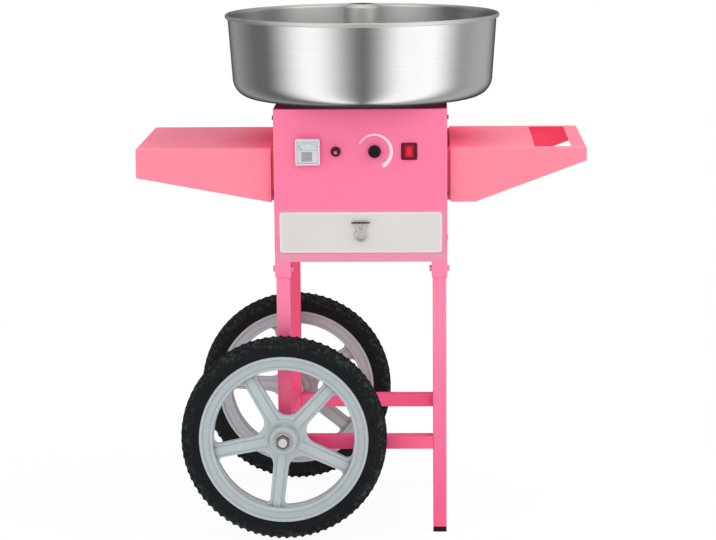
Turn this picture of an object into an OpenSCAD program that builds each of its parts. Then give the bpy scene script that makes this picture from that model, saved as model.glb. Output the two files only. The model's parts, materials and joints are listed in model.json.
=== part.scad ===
// Cotton candy cart: a two-wheeled stand with a drawer, a machine housing with its controls,
// a spinning head in a steel bowl, and a folded shelf on each side.
// The frame stands on the floor at z = 0, with +X to the right and the front towards -Y.

/* [Body] */
// Width of the drawer housing and of the machine housing
body_w = 316; // [304:1:340]
// Depth of both housings, front to back
body_d = 362; // [350:1:400]
// Height of the drawer housing's underside above the floor
stand_h = 513; // [480:1:560]
// Height of the drawer housing
drawer_box_h = 109; // [100:1:130]
// Height of the machine housing, base plate and top deck included
machine_h = 172; // [168:1:200]
// Thickness of the folded steel sheet
sheet = 1.5; // [1:0.1:2]

/* [Stand] */
// Width of a square leg
leg_w = 25; // [22:0.5:28]
// Wall of the leg and rail tubes
tube_wall = 1.5; // [1.2:0.1:2]
// Radius of the corners of the legs, rails and sockets
tube_corner_r = 2.5; // [1:0.1:3]
// Wall of the sockets that hold the legs
socket_wall = 1.8; // [1.2:0.1:2.5]
// Length of a socket below the drawer housing
socket_len = 29; // [24:1:40]
// Height of the rails' underside above the floor
rail_z = 159; // [140:1:162]
// Height of a rail
rail_h = 25; // [20:0.5:26]
// Height of a right-hand foot
foot_h = 10; // [6:1:16]
// Length of the spigot on a foot or an end plug
spigot_len = 18; // [12:1:24]
// Distance that the left legs reach below the axle
leg_below_axle = 42; // [40:1:60]
// Thickness of the end plug on a left leg
plug_t = 4; // [3:0.5:8]
// Radius of the bolts in the sockets
bolt_r = 3; // [2:0.5:4]
// Width across the flats of a socket bolt's head and nut
bolt_af = 10; // [8:0.5:12]
// Thickness of a socket bolt's head and nut
bolt_head_t = 4; // [3:0.5:5]
// Thickness of the plates that close the ends of a rail
rail_end_t = 4; // [3:0.5:6]

/* [Wheels] */
// Outer radius of a tyre
tyre_r = 190; // [186:1:200]
// Width of a tyre
tyre_w = 46; // [40:1:52]
// Radius of the rim that the tyre sits on
rim_r = 156; // [150:1:160]
// Angle that the front wheel has rolled to, clockwise from a spoke pointing straight down
front_turn = 6.6; // [0:0.1:71.9]
// Angle that the rear wheel has rolled to
rear_turn = 21.5; // [0:0.1:71.9]
// Width of the rim
rim_w = 40; // [34:1:44]
// Radial thickness of the rim
rim_band = 25; // [18:1:28]
// Gap between a tyre and the legs beside it
wheel_gap = 10; // [8:1:16]
// Number of spokes in a wheel
spoke_count = 5; // [3:1:7]
// Width of a spoke at the hub
spoke_hub_w = 30; // [26:1:34]
// Width of a spoke at the rim
spoke_rim_w = 26; // [20:1:28]
// Thickness of a spoke's flat web
spoke_t = 14; // [10:1:18]
// Radius of the corners of the gaps between the spokes, at the rim
gap_rim_r = 9; // [6:0.5:12]
// Radius of the round end of those gaps, at the hub
gap_hub_r = 26; // [20:1:28]
// Width of the rib along a spoke
rib_w = 16; // [8:1:20]
// Thickness of the wheel through a spoke's rib
rib_t = 20; // [18:1:30]
// Radius of the hub
hub_r = 25; // [22:1:28]
// Radius of the plate where the spokes meet
hub_plate_r = 36; // [32:1:42]
// Thickness of that plate
hub_plate_t = 18; // [12:1:26]
// Distance that the hub stands out from the middle of the wheel
hub_out = 29; // [25:1:32]
// Radius of the axle
axle_r = 8; // [6:0.5:9]
// Wall of the bush in a hub
bush_wall = 4; // [3:0.5:6]
// Thickness of an axle washer
washer_t = 3.7; // [3:0.1:5]
// Radius of an axle washer
washer_r = 15; // [14:0.5:18]
// Width across the flats of an axle nut
nut_af = 24; // [20:1:26]
// Thickness of an axle nut
nut_t = 10; // [6:1:11]

/* [Drawer] */
// Width of the pink strip at each side of the drawer front
side_strip = 8.5; // [6:0.5:10]
// Height of the strip above the drawer front
top_strip = 16; // [12:1:20]
// Height of the strip below the drawer front
bottom_strip = 16; // [12:1:20]
// Gap around the drawer front
drawer_gap = 1; // [0.6:0.1:1.5]
// Corner radius of the drawer front
drawer_corner_r = 6; // [3:0.5:10]
// Wall of the drawer tray
tray_wall = 1; // [0.8:0.1:1.5]
// Space behind the closed drawer tray
tray_back_gap = 22; // [15:1:40]
// Thickness of the slide bar on each side of the tray
slide_t = 4; // [3:0.5:5]
// Height of the slide bar
slide_h = 8; // [6:0.5:12]
// Width of the pull's hinge plate
pull_w = 33; // [28:1:40]
// Height of the pull's hinge plate
pull_plate_h = 11; // [9:1:14]
// Radius of the pull's hinge pin
pull_pin_r = 1.5; // [1:0.1:2]
// Radius of the pull's finger ring, at the middle of its wire
pull_ring_r = 9.3; // [8:0.1:12]
// Radius of the pull's wire
pull_wire_r = 2; // [1.5:0.1:2.5]
// Distance from the hinge pin down to the middle of the finger ring
pull_drop = 24; // [20:1:30]

/* [Bowl] */
// Outer radius of the bowl's rolled lip
bowl_r = 257; // [252:1:265]
// Height of the bowl, lip included
bowl_h = 154.5; // [140:0.5:170]
// Wall of the bowl
bowl_wall = 1; // [0.8:0.1:1.5]
// Radius of the wire edge that is rolled into the lip
lip_r = 3; // [2.5:0.5:5]
// Radius of the bowl's flat floor
bowl_floor_r = 208; // [198:1:210]
// Radius of the curve between the floor and the side
bowl_corner_r = 36; // [30:1:40]
// Radius of the hole that the spinning head stands in
bowl_hole_r = 84; // [76:1:92]
// Height of the collar around that hole
bowl_collar_h = 24; // [15:1:30]
// Height of the rubber pads that the bowl sits on
pad_h = 6; // [4:0.5:8]
// Radius of a pad
pad_r = 14; // [8:1:20]
// Distance of a pad from the spindle
pad_place = 140; // [115:1:160]

/* [Spinning head] */
// Radius of the spinning head
head_r = 62; // [55:1:64]
// Height of the head's underside above the top deck
head_rise = 44; // [38:1:50]
// Thickness of the head's base
head_base_t = 3; // [2:0.5:5]
// Height of the slotted band
band_h = 45; // [35:1:55]
// Number of slots in the band
slot_count = 24; // [12:1:36]
// Height of the cone between the band and the sugar cup
cone_h = 20; // [15:1:30]
// Outer radius of the sugar cup
cup_r = 34.6; // [30:0.2:40]
// Height of the sugar cup's side
cup_h = 60; // [45:1:70]
// Height of the chamfer at the cup's mouth
cup_chamfer_h = 5.5; // [3:0.5:8]
// Radius of the cup's mouth
cup_mouth_r = 23; // [18:0.5:26]
// Wall of the head's sheet pieces
head_wall = 1.5; // [1:0.1:2]
// Radius of the spindle
spindle_r = 6; // [5:0.5:7]

/* [Controls] */
// Height of the row of controls above the machine's underside
control_h = 94.5; // [85:0.5:105]
// Place of the voltmeter's middle, as a share of the way from the panel's middle to its left edge
meter_share = 0.604; // [0.58:0.002:0.64]
// Width of the voltmeter
meter_w = 45; // [40:0.5:50]
// Height of the voltmeter
meter_h = 48; // [42:0.5:54]
// Distance that the voltmeter stands out of the panel
meter_t = 10; // [8:0.5:14]
// Place of the fuse, as a share of the way from the panel's middle to its left edge
fuse_share = 0.282; // [0.25:0.002:0.3]
// Radius of the fuse holder's collar
fuse_r = 9; // [8:0.5:11]
// Place of the heat knob, as a share of the way from the panel's middle to its right edge
knob_share = 0.165; // [0.12:0.005:0.22]
// Radius of the heat knob
knob_r = 11.5; // [9:0.5:14]
// Height of the heat knob
knob_h = 14; // [10:0.5:18]
// Place of the switch's middle, as a share of the way from the panel's middle to its right edge
switch_share = 0.563; // [0.53:0.001:0.6]
// Width of the switch's frame
switch_w = 29; // [27:0.5:34]
// Height of the switch's frame
switch_h = 31; // [30:0.5:36]
// Angle that the rocker turns between off and on
rocker_travel = 16; // [10:1:18]

/* [Shelves] */
// Length of a shelf, from its bracket to its end
shelf_len = 248; // [220:1:280]
// Depth of a shelf, front to back
shelf_d = 327; // [316:1:340]
// Height of the shelves' tops above the machine's underside
shelf_top = 98.5; // [85:0.5:120]
// Depth of a shelf's apron beside the body
apron_h = 99.5; // [80:0.5:104]
// Depth of the left shelf's apron at its end
left_end_h = 54; // [30:1:70]
// Depth of the right shelf's apron at its end
right_end_h = 24; // [18:1:40]
// Length of the right shelf's apron that keeps its full depth
right_knee = 45; // [20:1:70]
// Width of the hand slot in the right shelf
slot_w = 67; // [50:1:80]
// Length of the hand slot, front to back
slot_len = 296; // [200:1:306]
// Width of the grip between the hand slot and the shelf's end
grip_w = 27; // [22:1:40]
// Distance that a bracket holds its shelf off the body
bracket_t = 6; // [5:0.5:9]
// Length of a bracket, front to back
bracket_len = 300; // [260:1:306]

/* [Hidden] */
$fn = 48;

// Colours, as the photograph shows them
pink = [0.98, 0.50, 0.64];
steel = [0.78, 0.78, 0.78];
zinc = [0.62, 0.63, 0.65];
wheel_grey = [0.68, 0.72, 0.74];
rubber_black = [0.12, 0.13, 0.13];
black = [0.08, 0.08, 0.09];
pale = [0.84, 0.83, 0.81];

// Clearances, and how far a cut runs past what it cuts
over = 1;
run_fit = 0.05;
seat_fit = 0.02;
hole_fit = 0.1;
socket_fit = 0.2;
slide_fit = 0.3;
side_play = 0.3;

// Levels and faces of the housings
box_z0 = stand_h;
box_z1 = stand_h + drawer_box_h;
deck_z = box_z1 + machine_h;
half_w = body_w / 2;
half_d = body_d / 2;
front_y = -half_d;
machine_z0 = box_z1 + sheet;
machine_z1 = deck_z - sheet;
control_z = box_z1 + control_h;
inner_w = half_w - sheet;
bend_r = 2 * sheet;

// Legs stand inside sockets that are flush with the drawer housing
socket_w = leg_w + 2 * socket_fit + 2 * socket_wall;
leg_x = half_w - socket_w / 2;
leg_y = half_d - socket_w / 2;
leg_face_y = leg_y + leg_w / 2;
leg_inner_x = leg_x - leg_w / 2;
leg_inner_y = leg_y - leg_w / 2;
axle_z = tyre_r;
left_leg_z0 = axle_z - leg_below_axle;
bolt_z = stand_h - socket_len / 2;
rail_mid_z = rail_z + rail_h / 2;
spigot_w = leg_w - 2 * tube_wall - 2 * hole_fit;
screw_r = 3;
screw_head_r = 5;
screw_tail = 6;
screw_len_in_rail = rail_end_t + screw_tail;

// Wheels
wheel_y = leg_face_y + wheel_gap + tyre_w / 2;
hub_in_y = leg_face_y + washer_t + side_play;
hub_out_y = wheel_y + hub_out;
outer_washer_y = hub_out_y + side_play;
nut_y = outer_washer_y + washer_t;
axle_tip = 3;
axle_end_y = nut_y + nut_t + axle_tip;
bush_r = axle_r + run_fit + bush_wall;
rim_in_r = rim_r - rim_band;
rim_recess_d = 3.5;
rim_recess_edge = 5;
rim_lip = 1.5;
gap_steps = 8;
bead_inset = 5;
tread_inset = 7;
shoulder_drop = 7;
tread_groove_w = 4;
tread_groove_d = 3;
shoulder_r = tyre_r - shoulder_drop;
wall_r = (rim_r + shoulder_r) / 2;

// Drawer
opening_w = body_w - 2 * side_strip;
opening_z0 = box_z0 + bottom_strip;
opening_h = drawer_box_h - bottom_strip - top_strip;
drawer_front_w = opening_w - 2 * drawer_gap;
drawer_front_h = opening_h - 2 * drawer_gap;
drawer_mid_z = opening_z0 + opening_h / 2;
tray_w = opening_w - 2 * drawer_gap - 2 * slide_t;
tray_lift = 7;
tray_z0 = opening_z0 + tray_lift;
tray_h = opening_h - 2 * tray_lift;
tray_y0 = front_y + sheet;
tray_len = body_d - 2 * sheet - tray_back_gap;
slide_z = tray_z0 + tray_h / 2;
runner_lip = 3;
runner_clear = 1;
runner_gap = 0.5;
runner_y0 = front_y + 2 * sheet + drawer_gap;
runner_x0 = tray_w / 2 + runner_clear;
groove_x1 = tray_w / 2 + slide_t + runner_gap;
runner_h = slide_h + 2 * slide_fit + 2 * runner_lip;

// Pull: a hinge plate, a pin and a hanging wire loop with a finger ring
pull_plate_t = 1.2;
pull_knuckle_r = 3.2;
pull_knuckle_w = 4;
pull_arm_w = 5;
pull_above_mid = 19;
pull_z = drawer_mid_z + pull_above_mid;
pull_pin_y = front_y - pull_plate_t - pull_knuckle_r;
pull_arm_x = pull_w / 2 - pull_knuckle_w - pull_arm_w / 2 - side_play;

// Bowl and the spindle's bearings
bowl_z0 = deck_z + pad_h;
bowl_z1 = bowl_z0 + bowl_h;
lip_z = bowl_z1 - lip_r;
lip_mid_r = bowl_r - lip_r;
bowl_top_r = lip_mid_r - lip_r + bowl_wall;
bowl_arc_steps = 10;
bowl_rest = 0.05;
bearing_r = 14;
bearing_h = 8;
bearing_edge = 2;
holder_wall = 6;
holder_r = bearing_r + holder_wall;
holder_flange_r = 34;
holder_flange_t = 4;
holder_up = 8;
holder_down = 22;
holder_bore_gap = 3;
holder_bore_r = spindle_r + holder_bore_gap;
holder_z0 = deck_z - holder_down;
holder_z1 = deck_z + holder_up;

// Motor under the top deck, hung from a bracket
bracket_gap = 52;
bracket_plate_t = 3;
bracket_plate_w = 112;
motor_r = 44;
motor_h = 88;
motor_boss_r = 18;
post_r = 5;
post_place = bracket_plate_w / 2 - 2 * post_r;
bracket_z1 = machine_z1 - bracket_gap;
bracket_z0 = bracket_z1 - bracket_plate_t;
motor_z0 = bracket_z0 - motor_h;
spindle_tail = 5;
ring_sleeve_r = 10;
ring_r = 12.5;
ring_h = 6;
ring_gap = 4;
ring_lift = 6;
ring_z0 = bracket_z1 + ring_lift;
ring_pitch = ring_h + ring_gap;
ring_z1 = ring_z0 + 2 * ring_pitch + ring_gap;
brush_gap = 0.4;
brush_w = 8;
brush_len = 12;
brush_block_w = 22;
brush_block_d = 26;

// Spinning head
head_z0 = deck_z + head_rise;
head_floor_z = head_z0 + head_base_t;
band_z1 = head_floor_z + band_h;
cone_z1 = band_z1 + cone_h;
cup_z1 = cone_z1 + cup_h;
head_z1 = cup_z1 + cup_chamfer_h;
head_hub_r = 14;
head_hub_h = 9;
head_lip = 4;
heater_r = 54;
heater_w = 12;
heater_h = 12;
heater_groove = 3;
band_slot_w = 2.4;
band_slot_margin = 7;
spindle_shoulder_r = 9;
spindle_shoulder_h = 8;
head_nut_af = 19;
head_nut_t = 8;
spindle_tip = 2;
head_nut_z = head_floor_z + head_hub_h;
spindle_z1 = head_nut_z + head_nut_t + spindle_tip;

// Controls
meter_x = half_w * meter_share;
fuse_x = half_w * fuse_share;
knob_x = half_w * knob_share;
switch_x = half_w * switch_share;
meter_rim = 3;
meter_barrel_r = 18;
meter_barrel_len = 26;
meter_floor = 3;
dial_t = 1.5;
window_t = 1.5;
needle_w = 1;
needle_t = 0.6;
needle_angle = 52;
needle_len_share = 0.42;
needle_root_share = 0.12;
fuse_collar_t = 3;
fuse_barrel_r = 6;
fuse_barrel_len = 28;
fuse_stem_r = 4.1;
fuse_stem_len = 15;
fuse_cap_r = 6.8;
fuse_cap_t = 7;
fuse_slot_w = 1.6;
fuse_slot_d = 1.5;
knob_gap = 1;
knob_skirt_h = 4;
knob_step = 2;
knob_grip_r = knob_r - knob_step;
knob_shaft_r = 3;
knob_mark_w = 1.6;
knob_mark_d = 1;
pot_r = 12;
pot_h = 9;
pot_bush_r = 4.5;
switch_frame_t = 2.5;
switch_body_w = 22;
switch_body_h = 27;
switch_body_len = 24;
switch_hole_w = switch_body_w + 2 * hole_fit;
switch_hole_h = switch_body_h + 2 * hole_fit;
rocker_w = 17;
rocker_h = 23;
rocker_end = 4.5;
rocker_dip = 2.5;
rocker_back = 3;
rocker_back_share = 0.8;
rocker_pin_r = 1.5;
rocker_pin_reach = 2;
rocker_wall = 0.3;
cavity_h = 25.6;
cavity_depth = 10;
gland_share = 0.696;
gland_x = half_w * gland_share;
gland_h = 30;
gland_flange_r = 14;
gland_flange_t = 6;
gland_r = 10;
gland_inside = 12;
gland_nut_t = 5;
gland_bore_r = 4.5;

// Housing details
bend_steps = 6;
flange_len = 20;
side_screw_r = 2;
side_screw_head_r = 4.3;
side_screw_head_t = 2.5;
side_screw_inset = 12;
side_screw_end = 15;
side_screw_tail = 3;
vent_count = 6;
vent_h = 4;
vent_len = 90;
vent_pitch = 9;
vent_top = 20;
shelf_z = box_z1 + shelf_top;
shelf_x0 = half_w + bracket_t;
shelf_x1 = shelf_x0 + shelf_len;
apron_z0 = shelf_z - apron_h;
shelf_screw_pitch = 100;
shelf_screw_z = shelf_z - apron_h / 2;

// A box between two corners
module box(x0, x1, y0, y1, z0, z1) {
    translate([x0, y0, z0]) cube([x1 - x0, y1 - y0, z1 - z0]);
}

// Round bars along each axis, from one place to another
module rod_x(r, x0, x1, y, z) {
    translate([x0, y, z]) rotate([0, 90, 0]) cylinder(r = r, h = x1 - x0);
}
module rod_y(r, y0, y1, x, z) {
    translate([x, y1, z]) rotate([90, 0, 0]) cylinder(r = r, h = y1 - y0);
}
module rod_z(r, z0, z1, x = 0, y = 0) {
    translate([x, y, z0]) cylinder(r = r, h = z1 - z0);
}

// A hexagon along X or Y, by its width across the flats
module hex_x(af, x0, x1, y, z) {
    translate([x0, y, z]) rotate([0, 90, 0]) cylinder(d = af / cos(30), h = x1 - x0, $fn = 6);
}
module hex_y(af, y0, y1, x, z) {
    translate([x, y1, z]) rotate([90, 0, 0]) cylinder(d = af / cos(30), h = y1 - y0, $fn = 6);
}

// Children as they are and mirrored to the other side
module both_sides() {
    children();
    mirror([1, 0, 0]) children();
}
module front_and_rear() {
    children();
    mirror([0, 1, 0]) children();
}

// A ring about the Z axis from a rectangle
module ring_z(r_in, r_out, z0, z1, x = 0, y = 0) {
    difference() {
        rod_z(r_out, z0, z1, x, y);
        rod_z(r_in, z0 - over, z1 + over, x, y);
    }
}
module ring_y(r_in, r_out, y0, y1, x, z) {
    difference() {
        rod_y(r_out, y0, y1, x, z);
        rod_y(r_in, y0 - over, y1 + over, x, z);
    }
}

// Points of an arc, for outlines that are turned about an axis
function arc(x, y, r, a0, a1, steps) =
    [for (i = [0 : steps]) let (a = a0 + (a1 - a0) * i / steps) [x + r * cos(a), y + r * sin(a)]];

// A rounded plate in the XZ plane, from a front face at y0 to a back face at y1
module rounded_plate(w, h, r, y0, y1, z_mid) {
    box(-w / 2, w / 2, y0, y1, z_mid - h / 2 + r, z_mid + h / 2 - r);
    box(-w / 2 + r, w / 2 - r, y0, y1, z_mid - h / 2, z_mid + h / 2);
    for (sx = [-1, 1], sz = [-1, 1])
        rod_y(r, y0, y1, sx * (w / 2 - r), z_mid + sz * (h / 2 - r));
}

// A rectangle about the middle with round corners
module rounded_rect(w, d, r) {
    square([w, d - 2 * r], center = true);
    square([w - 2 * r, d], center = true);
    for (sx = [-1, 1], sy = [-1, 1]) translate([sx * (w / 2 - r), sy * (d / 2 - r)]) circle(r = r);
}

// A square bar with round corners, from one height to another
module square_bar(w, z0, z1) {
    translate([0, 0, z0]) linear_extrude(z1 - z0) rounded_rect(w, w, tube_corner_r);
}

// The space inside the housings' outer faces, its upright corners bent round
module body_block(z0, z1) {
    translate([0, 0, z0]) linear_extrude(z1 - z0) rounded_rect(body_w, body_d, bend_r);
}

// Stand

// A square tube leg about its own axis
module leg_tube(z0) {
    in = leg_w / 2 - tube_wall;
    difference() {
        square_bar(leg_w, z0, stand_h);
        box(-in, in, -in, in, z0 - over, stand_h + over);
        rod_x(bolt_r + hole_fit, -leg_w, leg_w, 0, bolt_z);
        rod_x(screw_r + hole_fit, -leg_w, leg_w, 0, rail_mid_z);
    }
}

// Left legs carry the axle and stop above the floor
module left_leg(y) {
    color(pink) translate([-leg_x, y, 0]) difference() {
        leg_tube(left_leg_z0);
        rod_y(axle_r + hole_fit, -leg_w, leg_w, 0, axle_z);
        leg_sink(-1);
    }
}

// Right legs reach their feet
module right_leg(y) {
    color(pink) translate([leg_x, y, 0]) difference() {
        leg_tube(foot_h);
        leg_sink(1);
    }
}

// The countersink of a rail screw in the outer wall of a leg
module leg_sink(side) {
    head_x = side * leg_w / 2;
    translate([head_x, 0, rail_mid_z]) rotate([0, -side * 90, 0])
        cylinder(r1 = screw_head_r + hole_fit, r2 = screw_r + hole_fit, h = tube_wall);
}

module front_left_leg() { left_leg(-leg_y); }
module rear_left_leg() { left_leg(leg_y); }
module front_right_leg() { right_leg(-leg_y); }
module rear_right_leg() { right_leg(leg_y); }

// Four sockets that hang under the drawer housing and take the legs
module leg_sockets() {
    in = leg_w / 2 + socket_fit;
    color(pink) for (sx = [-1, 1], sy = [-1, 1]) translate([sx * leg_x, sy * leg_y, 0]) difference() {
        square_bar(socket_w, stand_h - socket_len, stand_h);
        box(-in, in, -in, in, stand_h - socket_len - over, stand_h + over);
        rod_x(bolt_r + hole_fit, -socket_w, socket_w, 0, bolt_z);
    }
}

// A hexagon bolt through each socket and leg, with its nut
module socket_bolts() {
    out = socket_w / 2;
    color(zinc) for (sx = [-1, 1], sy = [-1, 1]) translate([sx * leg_x, sy * leg_y, 0]) {
        hex_x(bolt_af, -out - bolt_head_t, -out, 0, bolt_z);
        rod_x(bolt_r, -out - bolt_head_t, out + bolt_head_t, 0, bolt_z);
        hex_x(bolt_af, out, out + bolt_head_t, 0, bolt_z);
    }
}

// A rail tube along X between the legs, with a tapped plate in each end
module rail_tube() {
    in = rail_h / 2 - tube_wall;
    mid = leg_inner_x - rail_end_t;
    difference() {
        translate([0, 0, rail_mid_z]) rotate([0, 90, 0]) square_bar(rail_h, -leg_inner_x, leg_inner_x);
        box(-mid, mid, -in, in, rail_z + tube_wall, rail_z + rail_h - tube_wall);
        rod_x(screw_r + seat_fit, -leg_x, leg_x, 0, rail_mid_z);
    }
}

module front_rail() { color(pink) translate([0, -leg_y, 0]) rail_tube(); }
module rear_rail() { color(pink) translate([0, leg_y, 0]) rail_tube(); }

// The rail between the two right legs
module cross_rail() {
    in = rail_h / 2 - tube_wall;
    color(pink) translate([leg_x, 0, 0]) difference() {
        translate([0, 0, rail_mid_z]) rotate([90, 0, 0]) square_bar(rail_h, -leg_inner_y, leg_inner_y);
        box(-in, in, -leg_inner_y + rail_end_t, leg_inner_y - rail_end_t,
            rail_z + tube_wall, rail_z + rail_h - tube_wall);
    }
}

// Countersunk screws that hold the rails to the legs
module rail_screws() {
    face = leg_x + leg_w / 2;
    tip = leg_inner_x - screw_len_in_rail;
    color(pink) front_and_rear() both_sides() translate([0, -leg_y, rail_mid_z]) {
        translate([face, 0, 0]) rotate([0, -90, 0]) cylinder(r1 = screw_head_r, r2 = screw_r, h = tube_wall);
        rod_x(screw_r, tip, face - tube_wall, 0, 0);
    }
}

// Black feet under the right legs and end plugs under the left ones
module leg_feet() {
    spigot = spigot_w / 2;
    color(black) for (y = [-leg_y, leg_y]) {
        translate([leg_x, y, 0]) {
            square_bar(leg_w, 0, foot_h);
            box(-spigot, spigot, -spigot, spigot, foot_h, foot_h + spigot_len);
        }
        translate([-leg_x, y, left_leg_z0]) {
            square_bar(leg_w, -plug_t, 0);
            box(-spigot, spigot, -spigot, spigot, 0, spigot_len);
        }
    }
}

// Wheels and axle

module axle() { color(steel) rod_y(axle_r, -axle_end_y, axle_end_y, -leg_x, axle_z); }

// A washer on each side of each hub
module axle_washers() {
    bore = axle_r + hole_fit;
    color(zinc) front_and_rear() {
        ring_y(bore, washer_r, -leg_face_y - washer_t, -leg_face_y, -leg_x, axle_z);
        ring_y(bore, washer_r, -nut_y, -outer_washer_y, -leg_x, axle_z);
    }
}

module axle_nuts() {
    color(steel) front_and_rear() difference() {
        hex_y(nut_af, -nut_y - nut_t, -nut_y, -leg_x, axle_z);
        rod_y(axle_r + seat_fit, -nut_y - nut_t - over, -nut_y + over, -leg_x, axle_z);
    }
}

// A spoke runs from inside the hub out to inside the rim
spoke_start = bush_r + bush_wall;
spoke_end = rim_in_r + rim_recess_edge / 2;

// The outline of a gap between two spokes, about +X: an arc along the rim, two round corners,
// the spokes' straight edges and a round end towards the hub
function gap_outline() = let (
    half = 180 / spoke_count,
    b = half + atan((spoke_hub_w - spoke_rim_w) / 2 / (spoke_end - spoke_start)),
    x0 = spoke_start * cos(half) + spoke_hub_w / 2 * sin(half),
    y0 = spoke_start * sin(half) - spoke_hub_w / 2 * cos(half),
    tip = x0 - y0 / tan(b),
    r = rim_in_r - rim_lip,
    g = b - asin((gap_rim_r + tip * sin(b)) / (r - gap_rim_r)),
    cx = (r - gap_rim_r) * cos(g),
    cy = (r - gap_rim_r) * sin(g),
    along_share = 1 - 2 / (gap_steps + 2)
) concat(
    arc(0, 0, r, -g * along_share, g * along_share, gap_steps),
    arc(cx, cy, gap_rim_r, g, 90 + b, gap_steps),
    arc(tip + gap_hub_r / sin(b), 0, gap_hub_r, 90 + b, 270 - b, gap_steps),
    arc(cx, -cy, gap_rim_r, 270 - b, 360 - g, gap_steps)
);

// A moulded wheel about the Y axis, its outer face towards -Y
module wheel_rim() {
    edge = rim_w / 2;
    recess_in = rim_in_r + rim_recess_edge;
    recess_out = rim_r - rim_recess_edge;
    hub_back = wheel_y - hub_in_y;
    rotate([90, 0, 0]) difference() {
        union() {
            rotate_extrude() polygon([
                [rim_in_r, -edge], [recess_in, -edge], [recess_in, -edge + rim_recess_d],
                [recess_out, -edge + rim_recess_d], [recess_out, -edge], [rim_r, -edge],
                [rim_r, edge], [recess_out, edge], [recess_out, edge - rim_recess_d],
                [recess_in, edge - rim_recess_d], [recess_in, edge], [rim_in_r, edge]
            ]);
            difference() {
                rod_z(spoke_end, -spoke_t / 2, spoke_t / 2);
                for (i = [0 : spoke_count - 1]) rotate((i + 1 / 2) * 360 / spoke_count - 90)
                    translate([0, 0, -spoke_t]) linear_extrude(2 * spoke_t) polygon(gap_outline());
            }
            for (i = [0 : spoke_count - 1]) rotate(i * 360 / spoke_count - 90)
                box(spoke_start, spoke_end, -rib_w / 2, rib_w / 2, -rib_t / 2, rib_t / 2);
            rod_z(hub_plate_r, -hub_plate_t / 2, hub_plate_t / 2);
            rod_z(hub_r, -hub_back, hub_out);
        }
        rod_z(bush_r + seat_fit, -hub_back - over, hub_out + over);
    }
}

// A tyre with a grooved tread and rounded shoulders, about the Y axis
module wheel_tyre() {
    side = tyre_w / 2;
    bead = side - bead_inset;
    tread = side - tread_inset;
    groove = tread_groove_w / 2;
    rotate([90, 0, 0]) rotate_extrude() polygon([
        [rim_r + seat_fit, -bead], [wall_r, -side], [shoulder_r, -side], [tyre_r, -tread],
        [tyre_r, -groove], [tyre_r - tread_groove_d, -groove],
        [tyre_r - tread_groove_d, groove], [tyre_r, groove],
        [tyre_r, tread], [shoulder_r, side], [wall_r, side], [rim_r + seat_fit, bead]
    ]);
}

// The plain bush that runs on the axle
module wheel_bush() {
    ring_y(axle_r + run_fit, bush_r, -hub_out, wheel_y - hub_in_y, 0, 0);
}

// A wheel piece at its place at the front, or mirrored to the rear
module at_front_wheel() { translate([-leg_x, -wheel_y, axle_z]) children(); }
module at_rear_wheel() { mirror([0, 1, 0]) at_front_wheel() children(); }

module front_rim() { color(wheel_grey) at_front_wheel() rotate([0, front_turn, 0]) wheel_rim(); }
module front_tyre() { color(rubber_black) at_front_wheel() wheel_tyre(); }
module front_bush() { color(pale) at_front_wheel() wheel_bush(); }
module rear_rim() { color(wheel_grey) at_rear_wheel() rotate([0, rear_turn, 0]) wheel_rim(); }
module rear_tyre() { color(rubber_black) at_rear_wheel() wheel_tyre(); }
module rear_bush() { color(pale) at_rear_wheel() wheel_bush(); }

// Drawer and its housing

// An open-topped box with a framed opening for the drawer
module drawer_housing() {
    color(pink) difference() {
        body_block(box_z0, box_z1);
        box(-inner_w, inner_w, front_y + sheet, half_d - sheet, box_z0 + sheet, box_z1 + over);
        rounded_plate(opening_w, opening_h, drawer_corner_r + drawer_gap,
            front_y - over, front_y + sheet + over, drawer_mid_z);
    }
}

// Grooved runners on the housing's inner sides
module drawer_runners() {
    color(zinc) both_sides() difference() {
        box(runner_x0, inner_w, runner_y0, half_d - sheet, slide_z - runner_h / 2, slide_z + runner_h / 2);
        box(runner_x0 - over, groove_x1, runner_y0 - over, half_d,
            slide_z - slide_h / 2 - slide_fit, slide_z + slide_h / 2 + slide_fit);
    }
}

module drawer_tray() {
    half = tray_w / 2;
    color(steel) difference() {
        box(-half, half, tray_y0, tray_y0 + tray_len, tray_z0, tray_z0 + tray_h);
        box(-half + tray_wall, half - tray_wall, tray_y0 + tray_wall, tray_y0 + tray_len - tray_wall,
            tray_z0 + tray_wall, tray_z0 + tray_h + over);
    }
}

// Slide bars on the tray's sides, which run in the grooves
module drawer_slides() {
    color(zinc) both_sides() box(tray_w / 2, tray_w / 2 + slide_t, runner_y0, tray_y0 + tray_len,
        slide_z - slide_h / 2, slide_z + slide_h / 2);
}

module drawer_front() {
    color(pale) rounded_plate(drawer_front_w, drawer_front_h, drawer_corner_r,
        front_y, front_y + sheet, drawer_mid_z);
}

// The pull's hinge plate, with a knuckle at each end
module pull_plate() {
    color(zinc) difference() {
        union() {
            box(-pull_w / 2, pull_w / 2, front_y - pull_plate_t, front_y,
                pull_z - pull_plate_h / 2, pull_z + pull_plate_h / 2);
            both_sides() translate([pull_w / 2 - pull_knuckle_w, 0, 0]) {
                box(0, pull_knuckle_w, pull_pin_y, front_y - pull_plate_t,
                    pull_z - pull_knuckle_r, pull_z + pull_knuckle_r);
                rod_x(pull_knuckle_r, 0, pull_knuckle_w, pull_pin_y, pull_z);
            }
        }
        rod_x(pull_pin_r + seat_fit, -pull_w, pull_w, pull_pin_y, pull_z);
    }
}

module pull_pin() { color(steel) rod_x(pull_pin_r, -pull_w / 2, pull_w / 2, pull_pin_y, pull_z); }

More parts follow.
